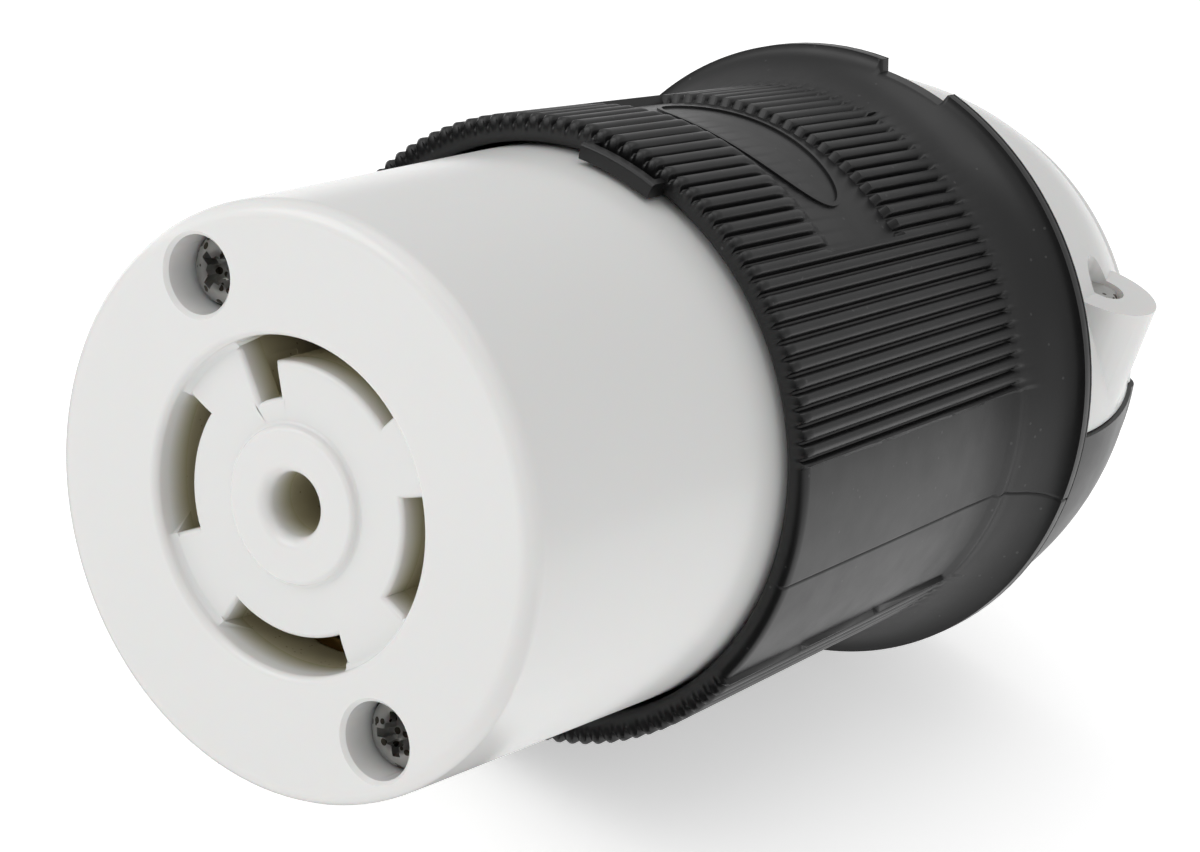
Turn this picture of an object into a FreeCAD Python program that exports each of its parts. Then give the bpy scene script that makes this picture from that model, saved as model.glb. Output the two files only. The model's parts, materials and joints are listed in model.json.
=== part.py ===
import FreeCAD, Part
import math
import os
import re
import Sketcher
from FreeCAD import Placement, Rotation, Vector

# A locking cord connector: the female end of a heavy extension cord.
# +Y runs from the mating face to the cord, +Z is the key side, and the origin is
# the middle of the mating face. Angles round the axis start at +Z and grow towards +X.

SIZES = [
    ("cut_past", 1.0, "how far a cut runs past the surface that it opens"),
    ("trim_past", 5.0, "how far the largest cuts run past the housing"),
    # the white front shell
    ("body_radius", 26.0, "outer radius of the front shell at the housing"),
    ("face_draft", 0.35, "how much smaller the shell is at its face"),
    ("shown_length", 35.0, "front shell that stands out of the housing"),
    ("insert_length", 20.0, "front shell inside the housing"),
    ("shell_wall", 2.2, "wall of the front shell"),
    ("face_wall", 4.0, "thickness of the mating face"),
    ("face_round", 1.5, "rounding of the face's outer edge"),
    ("recess_depth", 1.3, "sunk middle of the face"),
    ("recess_round", 0.5, "rounding of the recess's edge"),
    ("boss_radius", 6.6, "raised ring round the ground hole"),
    ("boss_height", 0.7, "height of that ring above the recess"),
    ("boss_edge", 0.5, "width of the slope at that ring's edge"),
    ("boss_fall", 0.3, "height of that slope"),
    ("ground_hole_radius", 2.75, "ground pin hole in the face"),
    ("ground_hole_round", 1.0, "lead-in of the ground hole"),
    # the contact slots
    ("slot_inner", 11.4, "inner radius of the blade slots"),
    ("slot_outer", 14.4, "outer radius of the blade slots and of the recess"),
    ("hooked_inner", 12.1, "inner radius of the hooked slot"),
    ("hook_width", 2.8, "width of the slot's hook"),
    ("hook_tip", 9.0, "radius that the hook reaches in to"),
    ("hook_lean", 18.0, "lean of the hook, past the slot's end"),
    ("hook_turn", 7.0, "angle from the slot's end to the hook"),
    ("hook_inset", 1.2, "the hook's root inside the slot's outer edge"),
    ("slot_x_start", 58.0, "slot X, first end"),
    ("slot_x_end", 103.0, "slot X, last end"),
    ("slot_y_start", 136.3, "slot Y, first end"),
    ("slot_y_end", 194.3, "slot Y, last end"),
    ("slot_z_start", 230.2, "slot Z, first end"),
    ("slot_z_end", 283.2, "slot Z, last end"),
    ("slot_n_start", -46.0, "neutral slot, hooked end"),
    ("slot_n_end", 28.2, "neutral slot, plain end"),
    ("ground_angle", 36.0, "where the ground terminal stands"),
    # long screws that hold the inside in the housing
    ("long_screw_inset", 5.3, "long screws' axes inside the front shell's outside"),
    ("long_screw_angle", -48.0, "angle of the upper long screw"),
    ("pillar_radius", 4.9, "tube round each long screw"),
    ("pocket_radius", 3.4, "pocket for a long screw's head"),
    ("pocket_depth", 5.0, "depth of that pocket"),
    ("long_head_radius", 3.1, "long screw head"),
    ("long_head_height", 2.4, "long screw head"),
    ("screw_radius", 2.0, "shank of the long and clamp screws"),
    ("screw_slip", 0.3, "room round a screw in a plain hole"),
    ("screw_bevel", 0.45, "bevel of the screws' heads and ends"),
    ("cross_reach", 0.62, "arms of a cross recess, as a share of the head's radius"),
    ("cross_width", 0.3, "width of those arms, as a share of the head's radius"),
    ("cross_depth", 0.55, "depth of a cross recess, as a share of the head's height"),
    ("thread_slip", 0.06, "room between a thread and its nut"),
    ("long_screw_tail", 9.4, "long screw past its nut's front face"),
    # the inside: carrier, contacts and terminals
    ("carrier_gap", 0.3, "room round the carrier"),
    ("carrier_end", 37.0, "rear face of the contact carrier"),
    ("chamber_front", 8.0, "front of the contact chambers"),
    ("chamber_slip", 0.1, "room round a contact"),
    ("leaf_side", 0.4, "how far the contact leaves stand outside the slots"),
    ("leaf_short", 1.2, "angle by which a leaf ends short of its slot, at each end"),
    ("leaf_gap", 1.8, "gap that grips a blade"),
    ("leaf_front", 9.0, "front edge of the contacts"),
    ("leaf_end", 26.0, "rear edge of the contacts"),
    ("web_thick", 1.2, "contact's rear web"),
    ("tail_width", 7.2, "terminal strap"),
    ("tail_thick", 1.0, "terminal strap"),
    ("tail_radius", 12.4, "inside of the terminal straps"),
    ("tail_end", 52.0, "rear end of the terminal straps"),
    ("terminal_at", 47.0, "terminal screws along the axis"),
    ("wire_gap", 1.0, "gap under a closed clamp plate"),
    ("plate_thick", 1.2, "terminal clamp plate"),
    ("plate_length", 8.8, "terminal clamp plate"),
    ("terminal_head_radius", 3.3, "terminal screw head"),
    ("terminal_head_height", 2.1, "terminal screw head"),
    ("terminal_screw_radius", 1.9, "terminal screw shank"),
    ("terminal_screw_length", 6.6, "terminal screw shank"),
    ("driver_hole_radius", 3.7, "hole for a driver over each terminal"),
    ("sleeve_bore", 2.45, "ground sleeve's bore"),
    ("sleeve_wall", 0.85, "ground sleeve's wall"),
    ("sleeve_front", 8.5, "front of the ground sleeve"),
    ("sleeve_slit", 0.6, "slits of the ground sleeve"),
    ("sleeve_slit_length", 12.0, "slits of the ground sleeve"),
    ("ground_strap_at", 30.0, "front face of the ground strap"),
    ("block_thick", 3.0, "terminal block's disc"),
    ("fin_thick", 1.5, "walls between the terminals"),
    ("fin_inner", 10.6, "inner edge of those walls"),
    ("fin_end", 53.0, "rear edge of those walls"),
    ("fin_inset", 0.5, "outer edge of those walls inside the block's edge"),
    ("block_screw_circle", 7.6, "small screws of the terminal block"),
    ("block_screw_radius", 1.25, "small screw shank"),
    ("block_screw_length", 9.0, "small screw shank"),
    ("small_hole_spare", 0.5, "how much deeper their holes are"),
    ("block_head_radius", 2.4, "small screw head"),
    ("block_head_height", 1.5, "small screw head"),
    ("small_slot_width", 0.3, "its slot's width, as a share of the head's radius"),
    ("small_slot_floor", 0.5, "its slot's floor, as a share of the head's height"),
    # the black housing
    ("bore_gap", 0.3, "room between front shell and housing"),
    ("housing_wall", 2.6, "housing from its bore to the ribs' crests, at the front"),
    ("crest_fall", 1.6, "how far the crests come in from front to rear"),
    ("ribs_end", 74.4, "where the skirt starts to flare"),
    ("skirt_rise", 1.75, "how far the rim stands over the front crests"),
    ("skirt_front", 80.9, "front edge of the skirt's rim"),
    ("rim_thick", 1.3, "thickness of the rim"),
    ("flare_radius", 11.0, "hollow curve of the flare"),
    ("lip_bevel", 0.7, "bevel inside the front lip"),
    ("lip_round", 0.4, "bevel outside the front lip"),
    ("chamber_step", 1.6, "how much smaller than the front shell the wiring chamber is"),
    ("shoulder_gap", 0.3, "room behind the front shell"),
    ("side_flat_depth", 0.55, "how far the plain sides are below the ribs"),
    ("side_flat_span", 43.0, "angle that each plain side covers"),
    ("side_fade", 4.0, "length over which a plain side fades into the skirt"),
    ("side_fade_rise", 1.2, "how far it rises in that length"),
    ("rib_pitch", 3.0, "angle from rib to rib"),
    ("rib_depth", 0.75, "depth of the rib valleys"),
    ("rib_valley_half", 0.63, "half the width of a rib valley"),
    ("rib_flank", 0.8, "rounding of a rib's flank"),
    ("valley_past", 0.6, "how far a valley's cut starts over the crests"),
    ("valley_edge", 0.02, "where a valley's flanks start over the crests"),
    ("panel_start", 48.4, "front of the plain band over the ribs"),
    ("panel_end", 61.1, "rear of that band"),
    ("panel_span", 62.0, "angle that the band covers"),
    ("panel_depth", 0.85, "depth of the band below the crests"),
    ("panel_slope", 0.9, "slope in front of the band"),
    ("panel_foot", 0.4, "where that slope starts at the crests"),
    ("key_span", 17.0, "angle that the key tab covers"),
    ("key_reach", 2.0, "key tab in front of the housing"),
    ("key_thick", 1.15, "key tab from inside to outside"),
    ("key_wall", 0.7, "front wall of the key tab"),
    ("key_edge", 0.3, "bevel of the key tab"),
    ("key_root", 1.5, "key tab inside the housing"),
    ("key_floor", 0.45, "floor of the key tab's trough"),
    ("key_ends", 2.4, "angle of the two end walls of that trough"),
    ("notch_span", 15.0, "notch in the rim"),
    ("notch_depth", 1.25, "notch in the rim"),
    ("notch_reach", 2.5, "notch in front of the rim"),
    ("rim_slot_depth", 0.8, "small slot in the rim"),
    ("rim_slot_span", 4.0, "angle that the slot covers"),
    ("rim_slot_away", 3.6, "middle of the slot from the notch's end"),
    ("rim_slot_front", 0.2, "slot in front of the rim"),
    ("rim_slot_rear", 0.3, "what is left of the rim behind the slot"),
    ("boss_tube", 5.0, "tube round each nut in the housing"),
    ("nut_front", 62.5, "front face of the long screws' nuts"),
    ("nut_thick", 3.2, "nut thickness"),
    ("nut_radius", 4.1, "nut across its corners, halved"),
    ("nut_slip", 0.1, "room round a nut"),
    # cord end
    ("neck_rise", 0.4, "how far the cord end's root stands over the front crests"),
    ("neck_fall", 4.3, "how far the cord end comes in towards its last edge"),
    ("neck_bulge", 38.0, "curve of the cord end"),
    ("neck_round", 2.2, "rounding of the last edge"),
    ("total_length", 104.0, "length of the connector"),
    ("jaw_wall", 9.0, "length of the clamp's jaws"),
    ("jaw_radius", 10.0, "cord hole between the jaws"),
    ("jaw_groove", 1.3, "depth of the grooves in the jaws"),
    ("jaw_groove_width", 1.4, "width of those grooves"),
    ("split_height", 5.2, "height of the split between the jaws"),
    ("split_gap", 0.15, "gap at the split"),
    ("clamp_gap", 0.3, "gap behind the skirt"),
    ("clamp_drop", 1.9, "how far the clamp is screwed down at rest"),
    ("clamp_wall", 4.4, "wall of the clamp's dome"),
    ("dome_step", 2.0, "how much the dome's wall thickens at the jaw"),
    ("dome_slope", 4.0, "length over which it thickens"),
    ("ear_inset", 7.7, "clamp screws inside the cord end's root"),
    ("ear_back", 12.2, "clamp screws from the last face"),
    ("ear_radius", 5.7, "ear round a clamp screw"),
    ("ear_top", 16.8, "height of the ears"),
    ("clamp_pocket_radius", 3.7, "pocket for a clamp screw's head"),
    ("clamp_head_radius", 3.3, "clamp screw head"),
    ("clamp_head_height", 2.3, "clamp screw head"),
    ("clamp_seat", -9.0, "height of the seats of the clamp screws' heads"),
    ("clamp_screw_end", 16.6, "height of the clamp screws' ends"),
    ("clamp_nut_low", 8.4, "height of the square nuts' undersides"),
    ("clamp_nut_side", 7.0, "square nut"),
    ("lower_pillar_end", -24.0, "where the pillars in the lower jaw start"),
    ("seal_at", 77.0, "front face of the cord seal"),
    ("seal_thick", 2.0, "cord seal"),
    ("seal_seat", 1.0, "how far the seal sits in the chamber's wall"),
    ("seal_hole", 8.0, "hole in the cord seal"),
    ("seal_hub", 1.6, "cord seal's thicker hub"),
    ("seal_hub_root", 3.5, "wall of the hub at its root"),
    ("seal_hub_wall", 1.5, "wall of the hub at its end"),
]

# Sizes that follow from the ones above.
DERIVED = {
    "crest_front": "(body_radius + bore_gap + housing_wall)",
    "crest_rear": "(crest_front - crest_fall)",
    "skirt_radius": "(crest_front + skirt_rise)",
    "chamber_radius": "(body_radius - chamber_step)",
    "seal_radius": "(chamber_radius + seal_seat)",
    "neck_root": "(crest_front + neck_rise)",
    "neck_end": "(neck_root - neck_fall)",
    "long_screw_circle": "(body_radius - long_screw_inset)",
    "ear_offset": "(neck_root - ear_inset)",
    "ear_at": "(total_length - ear_back)",
    "leaf_outer": "(slot_outer + leaf_side)",
    "leaf_inner": "(slot_inner - leaf_side)",
}

doc = FreeCAD.newDocument("cord_connector")
sheet = doc.addObject("Spreadsheet::Sheet", "Sizes")
for row, (alias, number, meaning) in enumerate(SIZES, 1):
    sheet.set(f"A{row}", alias)
    sheet.set(f"B{row}", str(number))
    sheet.setAlias(f"B{row}", alias)
    sheet.set(f"C{row}", meaning)
doc.recompute()

ALIASES = {alias for alias, _, _ in SIZES}
WORD = r"[a-z_]+"
LEAST_CUT = 1e-6  # cubic millimetres that a cut takes away at the least
parts = []


# ---- small helpers -------------------------------------------------------------

def spelled_out(expression):
    """An expression with its derived sizes written out in the sheet's own names."""
    while any(word in DERIVED for word in re.findall(WORD, expression)):
        expression = re.sub(WORD, lambda word: DERIVED.get(word.group(), word.group()), expression)
    return expression


def size(expression):
    """The number that an expression over the sizes gives."""
    return float(sheet.evalExpression(spelled_out(expression)))


def bound(expression):
    """The same expression, as another object of the document writes it."""
    return re.sub(WORD, lambda word: "Sizes." + word.group() if word.group() in ALIASES
                  else word.group(), spelled_out(expression))


def polar(radius, angle):
    """A point on a circle round the axis, as two expressions for a sketch on the XZ plane."""
    return f"({radius}) * sin({angle})", f"({radius}) * cos({angle})"


def new_part(name, type_name="PartDesign::Body"):
    """A named sub-part of the connector."""
    part = doc.addObject(type_name, name)
    part.Label = name
    parts.append(part)
    return part


def origin_item(body, role):
    return next(item for item in body.Origin.OriginFeatures if item.Role == role)


def attach(sketch, body, role, shift="0", turn="0", turn_axis=Vector(0, 0, 1)):
    """Put a sketch on one of its body's planes, shifted along the plane's normal and turned."""
    sketch.AttachmentSupport = [(origin_item(body, role), "")]
    sketch.MapMode = "FlatFace"
    sketch.AttachmentOffset = Placement(Vector(0, 0, size(shift)), Rotation(turn_axis, 1.0))
    sketch.setExpression("AttachmentOffset.Base.z", bound(shift))
    sketch.AttachmentOffset.Rotation = Rotation(turn_axis, size(turn))
    sketch.setExpression("AttachmentOffset.Rotation.Angle", bound(turn))


def add_edge(sketch, here, there, radius):
    """A straight edge, or an arc when radius isn't 0: counter-clockwise when it is positive."""
    if not radius:
        sketch.addGeometry(Part.LineSegment(here, there), False)
        return 1, 2
    chord = there - here
    half = chord.Length / 2
    left = Vector(-chord.y, chord.x, 0).normalize()
    rise = math.sqrt(max(radius * radius - half * half, 0))
    centre = (here + there) / 2 + left * math.copysign(rise, radius)
    ends = (here, there) if radius > 0 else (there, here)
    angles = [math.atan2(end.y - centre.y, end.x - centre.x) for end in ends]
    if angles[1] < angles[0]:
        angles[1] += 2 * math.pi
    circle = Part.Circle(centre, Vector(0, 0, 1), abs(radius))
    sketch.addGeometry(Part.ArcOfCircle(circle, *angles), False)
    return (1, 2) if radius > 0 else (2, 1)


def outline(body, role, name, points, **placing):
    """A closed, fully constrained outline. A point is (x, y) or (x, y, radius, side):
    with a radius, the edge that leaves it is an arc, and side is +1 or -1."""
    sketch = body.newObject("Sketcher::SketchObject", name)
    attach(sketch, body, role, **placing)
    corners = [Vector(size(point[0]), size(point[1]), 0) for point in points]
    ends = []
    for index, point in enumerate(points):
        radius = size(point[2]) * point[3] if len(point) > 2 else 0
        ends.append(add_edge(sketch, corners[index], corners[(index + 1) % len(corners)], radius))
    for index, point in enumerate(points):
        following = (index + 1) % len(points)
        sketch.addConstraint(Sketcher.Constraint(
            "Coincident", index, ends[index][1], following, ends[following][0]))
        pins = [("DistanceX", point[0]), ("DistanceY", point[1])]
        for kind, expression in pins:
            number = sketch.addConstraint(Sketcher.Constraint(
                kind, -1, 1, index, ends[index][0], size(expression)))
            sketch.setExpression(f"Constraints[{number}]", bound(expression))
        if len(point) > 2:
            number = sketch.addConstraint(Sketcher.Constraint("Radius", index, size(point[2])))
            sketch.setExpression(f"Constraints[{number}]", bound(point[2]))
    return sketch


def rings(body, role, name, circles, **placing):
    """A sketch of whole circles, each (x, y, radius)."""
    sketch = body.newObject("Sketcher::SketchObject", name)
    attach(sketch, body, role, **placing)
    for index, (across, up, radius) in enumerate(circles):
        centre = Vector(size(across), size(up), 0)
        sketch.addGeometry(Part.Circle(centre, Vector(0, 0, 1), size(radius)), False)
        sizes = [("Radius", index, radius), ("DistanceX", index, across), ("DistanceY", index, up)]
        for kind, geometry, expression in sizes:
            where = (geometry,) if kind == "Radius" else (-1, 1, geometry, 3)
            number = sketch.addConstraint(Sketcher.Constraint(kind, *where, size(expression)))
            sketch.setExpression(f"Constraints[{number}]", bound(expression))
    return sketch


def turned(body, name, points, axis="V_Axis", role="XY_Plane"):
    """Revolve an outline of (radius, distance along the axis) points."""
    sketch = outline(body, role, name + "_outline", points)
    feature = body.newObject("PartDesign::Revolution", name)
    feature.Profile = sketch
    feature.ReferenceAxis = (sketch, [axis])
    feature.Angle = 360
    doc.recompute()
    return feature


def sector(body, name, points, middle, span, cut=True):
    """Revolve an outline through a span of angle round Y, cutting or adding."""
    sketch = outline(body, "XY_Plane", name + "_outline", points,
                     turn=f"{middle} - 90", turn_axis=Vector(0, 1, 0))
    feature = body.newObject("PartDesign::Groove" if cut else "PartDesign::Revolution", name)
    feature.Profile = sketch
    feature.ReferenceAxis = (sketch, ["V_Axis"])
    feature.Midplane = True
    feature.Angle = size(span)
    feature.setExpression("Angle", bound(span))
    doc.recompute()
    return feature


def raised(body, name, sketch, length, backwards=False):
    feature = body.newObject("PartDesign::Pad", name)
    feature.Profile = sketch
    feature.Length = size(length)
    feature.setExpression("Length", bound(length))
    feature.Reversed = backwards
    doc.recompute()
    return feature


def sunk(body, name, sketch, length, backwards=False):
    feature = body.newObject("PartDesign::Pocket", name)
    feature.Profile = sketch
    feature.Length = size(length)
    feature.setExpression("Length", bound(length))
    feature.Reversed = backwards
    before = body.Shape.Volume
    doc.recompute()
    if body.Shape.Volume > before - LEAST_CUT:
        raise RuntimeError(f"{body.Label}: {name} cuts nothing")
    return feature


def along(body, name, sketch_maker, shapes, start, end, cut=False):
    """Raise or sink an outline (or circles) on the XZ plane from start to end along +Y."""
    sketch = sketch_maker(body, "XZ_Plane", name + "_outline", shapes, shift=f"-({start})")
    if cut:
        return sunk(body, name, sketch, f"({end}) - ({start})")
    return raised(body, name, sketch, f"({end}) - ({start})", backwards=True)


def ring_sector(inner, outer, start, end):
    """The outline of a piece of a ring between two angles."""
    return [
        (*polar(inner, start), inner, -1),
        polar(inner, end),
        (*polar(outer, end), outer, 1),
        polar(outer, start),
    ]


def rectangle(left, low, right, high):
    return [(left, low), (right, low), (right, high), (left, high)]


def turn_about_axis(part, angle):
    """Turn a whole sub-part round the connector's axis."""
    part.Placement = Placement(Vector(), Rotation(Vector(0, 1, 0), 1.0))
    part.setExpression("Placement.Rotation.Angle", bound(angle))


def screw(name, head_radius, head_height, shank_radius, shank_length):
    """A screw along Z with its head's seat at the origin, its head up and a cross recess."""
    body = new_part(name)
    turned(body, "turned_screw", [
        ("0", f"-({shank_length})"),
        (f"{shank_radius} - screw_bevel", f"-({shank_length})"),
        (shank_radius, f"screw_bevel - ({shank_length})"),
        (shank_radius, "0"),
        (head_radius, "0"),
        (head_radius, f"{head_height} - screw_bevel"),
        (f"{head_radius} - screw_bevel", head_height),
        ("0", head_height),
    ], role="XZ_Plane")
    arm = f"{head_radius} * cross_reach"
    half = f"{head_radius} * cross_width / 2"
    cross = [
        (f"-({arm})", f"-({half})"), (f"-({half})", f"-({half})"), (f"-({half})", f"-({arm})"),
        (half, f"-({arm})"), (half, f"-({half})"), (arm, f"-({half})"),
        (arm, half), (half, half), (half, arm),
        (f"-({half})", arm), (f"-({half})", half), (f"-({arm})", half),
    ]
    sketch = outline(body, "XY_Plane", "recess_outline", cross, shift=head_height)
    sunk(body, "recess", sketch, f"{head_height} * cross_depth")
    return body


def placed_along_y(part, radius, angle, seat):
    """Stand a screw or nut along Y, head towards the mating face."""
    part.Placement = Placement(Vector(), Rotation(Vector(1, 0, 0), 90))
    part.setExpression("Placement.Base.x", bound(f"({radius}) * sin({angle})"))
    part.setExpression("Placement.Base.y", bound(seat))
    part.setExpression("Placement.Base.z", bound(f"({radius}) * cos({angle})"))


# ---- angles and names that repeat ----------------------------------------------------

SLOTS = {"x": "slot_x", "y": "slot_y", "z": "slot_z", "neutral": "slot_n"}
LONG_SCREWS = {"upper": "long_screw_angle", "lower": "long_screw_angle + 180"}
FINS = ["13.5", "58.3", "107", "211", "285"]
BLOCK_SCREWS = ["130", "240"]
BODY_LENGTH = "shown_length + insert_length"
CARRIER_RADIUS = "body_radius - shell_wall - carrier_gap"
VALLEYS = "floor((180 - side_flat_span) / rib_pitch)"


def slot_middle(slot):
    return f"({SLOTS[slot]}_start + {SLOTS[slot]}_end) / 2"


TERMINALS = {slot: slot_middle(slot) for slot in SLOTS}
TERMINALS["ground"] = "ground_angle"


def hook_outline():
    """The hook at the start of the neutral slot: a short channel towards the middle."""
    lean = "slot_n_start + hook_lean"
    base_x, base_z = polar("slot_outer - hook_inset", "slot_n_start + hook_turn")
    reach = "(slot_outer - hook_inset - hook_tip)"
    half = "hook_width / 2"
    corners = []
    for side, distance in ((-1, "0"), (1, "0"), (1, reach), (-1, reach)):
        across = f"{side} * {half}"
        corners.append((
            f"{base_x} + {across} * cos({lean}) - {distance} * sin({lean})",
            f"{base_z} - {across} * sin({lean}) - {distance} * cos({lean})",
        ))
    return corners


def cut_slots(body, start, end):
    """All four blade slots and the neutral slot's hook, through a wall from start to end."""
    for slot, alias in SLOTS.items():
        inner = "hooked_inner" if slot == "neutral" else "slot_inner"
        along(body, f"slot_{slot}", outline,
              ring_sector(inner, "slot_outer", f"{alias}_start", f"{alias}_end"), start, end, cut=True)
    along(body, "slot_hook", outline, hook_outline(), start, end, cut=True)


# ---- the white front shell ----------------------------------------------------------------

def make_face_body():
    body = new_part("face_body")
    bottom = "recess_depth - boss_height"
    turned(body, "cup", [
        ("ground_hole_radius", f"{bottom} + ground_hole_round"),
        ("ground_hole_radius", "face_wall"),
        ("body_radius - shell_wall", "face_wall"),
        ("body_radius - shell_wall", BODY_LENGTH),
        ("body_radius", BODY_LENGTH),
        ("body_radius", "shown_length"),
        ("body_radius - face_draft", "face_round", "face_round", -1),
        ("body_radius - face_draft - face_round", "0"),
        ("slot_outer + recess_round", "0", "recess_round", -1),
        ("slot_outer", "recess_round"),
        ("slot_outer", "recess_depth"),
        ("boss_radius", "recess_depth"),
        ("boss_radius", f"{bottom} + boss_fall"),
        ("boss_radius - boss_edge", bottom),
        ("ground_hole_radius + ground_hole_round", bottom, "ground_hole_round", -1),
    ])
    posts = [(*polar("long_screw_circle", angle), "pillar_radius") for angle in LONG_SCREWS.values()]
    along(body, "pillars", rings, posts, "face_wall", f"{BODY_LENGTH} - cut_past")
    cut_slots(body, "0", "face_wall")
    heads = [(*polar("long_screw_circle", angle), "pocket_radius") for angle in LONG_SCREWS.values()]
    along(body, "head_pockets", rings, heads, "0", "pocket_depth", cut=True)
    holes = [(*polar("long_screw_circle", angle), "screw_radius + screw_slip")
             for angle in LONG_SCREWS.values()]
    along(body, "screw_holes", rings, holes, "0", BODY_LENGTH, cut=True)
    for terminal, angle in TERMINALS.items():
        sketch = rings(body, "XY_Plane", f"driver_outline_{terminal}",
                       [("0", "terminal_at", "driver_hole_radius")],
                       turn=angle, turn_axis=Vector(0, 1, 0), shift="0")
        sunk(body, f"driver_hole_{terminal}", sketch, "body_radius + cut_past", backwards=True)
    return body


# ---- the inside -------------------------------------------------------------------------------

def clear_of_pillars(body, start, end):
    holes = [(*polar("long_screw_circle", angle), "pillar_radius + carrier_gap")
             for angle in LONG_SCREWS.values()]
    along(body, "pillar_holes", rings, holes, start, end, cut=True)


def strap_window(body, name, angle, low, high, start, end):
    """A slot for a terminal strap, from one height to another above the axis, turned to its angle."""
    half = "(tail_width / 2 + chamber_slip)"
    sketch = outline(body, "XZ_Plane", name + "_outline", rectangle(f"-{half}", low, half, high),
                     shift=f"-({start})", turn=f"-({angle})")
    sunk(body, name, sketch, f"({end}) - ({start})")


def make_carrier():
    body = new_part("contact_carrier")
    turned(body, "block", [
        ("ground_hole_radius", "face_wall"),
        (CARRIER_RADIUS, "face_wall"),
        (CARRIER_RADIUS, "carrier_end"),
        ("sleeve_bore + sleeve_wall + chamber_slip", "carrier_end"),
        ("sleeve_bore + sleeve_wall + chamber_slip", "chamber_front"),
        ("ground_hole_radius", "chamber_front"),
    ])
    clear_of_pillars(body, "face_wall", "carrier_end")
    cut_slots(body, "face_wall", "chamber_front")
    for slot, alias in SLOTS.items():
        along(body, f"chamber_{slot}", outline,
              ring_sector("leaf_inner - chamber_slip", "leaf_outer + chamber_slip",
                          f"{alias}_start", f"{alias}_end"),
              "chamber_front", "leaf_end + chamber_slip", cut=True)
        strap_window(body, f"strap_way_{slot}", slot_middle(slot), "tail_radius - chamber_slip",
                     "tail_radius + tail_thick + chamber_slip", "leaf_end", "carrier_end")
    strap_window(body, "strap_way_ground", "ground_angle", "-(tail_width / 2 + chamber_slip)",
                 "tail_radius + tail_thick + chamber_slip", "ground_strap_at - chamber_slip",
                 "carrier_end")
    holes = [(*polar("block_screw_circle", angle), "block_screw_radius") for angle in BLOCK_SCREWS]
    along(body, "small_screw_holes", rings, holes,
          "carrier_end - block_screw_length + block_thick - small_hole_spare", "carrier_end", cut=True)
    return body


def add_tail(body, start):
    """The strap that carries a contact's current back to its terminal screw."""
    along(body, "tail", outline,
          rectangle("-tail_width / 2", "tail_radius", "tail_width / 2", "tail_radius + tail_thick"),
          start, "tail_end")
    sketch = rings(body, "XY_Plane", "thread_outline",
                   [("0", "terminal_at", "terminal_screw_radius + thread_slip")])
    sunk(body, "thread", sketch, "tail_radius + tail_thick + cut_past", backwards=True)


def make_contact(slot):
    """A female contact: two curved leaves, a web behind them and a strap to the terminal."""
    body = new_part(f"contact_{slot}")
    alias = SLOTS[slot]
    half = f"(({alias}_end - {alias}_start) / 2 - leaf_short)"
    along(body, "web", outline, ring_sector("leaf_inner", "leaf_outer", f"-{half}", half),
          "leaf_end - web_thick", "leaf_end")
    grip = "(leaf_outer + leaf_inner) / 2"
    leaves = {
        "outer_leaf": (f"{grip} + leaf_gap / 2", "leaf_outer"),
        "inner_leaf": ("leaf_inner", f"{grip} - leaf_gap / 2"),
    }
    for name, (inner, outer) in leaves.items():
        along(body, name, outline, ring_sector(inner, outer, f"-{half}", half),
              "leaf_front", "leaf_end - web_thick")
    add_tail(body, "leaf_end")
    turn_about_axis(body, slot_middle(slot))
    return body


def make_ground_sleeve():
    body = new_part("ground_sleeve")
    turned(body, "tube", [
        ("sleeve_bore", "sleeve_front"),
        ("sleeve_bore + sleeve_wall", "sleeve_front"),
        ("sleeve_bore + sleeve_wall", "ground_strap_at + tail_thick"),
        ("sleeve_bore", "ground_strap_at + tail_thick"),
    ])
    reach = "(sleeve_bore + sleeve_wall + cut_past)"
    half = "sleeve_slit / 2"
    for name, box in {"slit_one": rectangle(f"-{half}", f"-{reach}", half, reach),
                      "slit_two": rectangle(f"-{reach}", f"-{half}", reach, half)}.items():
        along(body, name, outline, box, "sleeve_front", "sleeve_front + sleeve_slit_length", cut=True)
    return body


def make_ground_strap():
    body = new_part("ground_strap")
    half = "tail_width / 2"
    along(body, "plate", outline, rectangle(f"-{half}", f"-{half}", half, "tail_radius + tail_thick"),
          "ground_strap_at", "ground_strap_at + tail_thick")
    along(body, "sleeve_hole", rings, [("0", "0", "sleeve_bore + sleeve_wall")],
          "ground_strap_at", "ground_strap_at + tail_thick", cut=True)
    add_tail(body, "ground_strap_at + tail_thick")
    turn_about_axis(body, "ground_angle")
    return body


def make_terminal_block():
    """The disc that closes the contact chambers, with a wall between each pair of terminals."""
    body = new_part("terminal_block")
    front = "carrier_end"
    back = "(carrier_end + block_thick)"
    along(body, "disc", rings, [("0", "0", CARRIER_RADIUS)], front, back)
    for number, angle in enumerate(FINS, 1):
        sketch = outline(body, "XZ_Plane", f"fin_{number}_outline",
                         rectangle("-fin_thick / 2", "fin_inner", "fin_thick / 2",
                                   f"{CARRIER_RADIUS} - fin_inset"),
                         shift=f"-{back}", turn=f"-({angle})")
        raised(body, f"fin_{number}", sketch, f"fin_end - {back}", backwards=True)
    clear_of_pillars(body, front, back)
    for terminal, angle in TERMINALS.items():
        strap_window(body, f"window_{terminal}", angle, "tail_radius - chamber_slip",
                     "tail_radius + tail_thick + chamber_slip", front, back)
    holes = [(*polar("block_screw_circle", angle), "block_screw_radius + chamber_slip")
             for angle in BLOCK_SCREWS]
    along(body, "small_screw_holes", rings, holes, front, back, cut=True)
    return body


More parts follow.
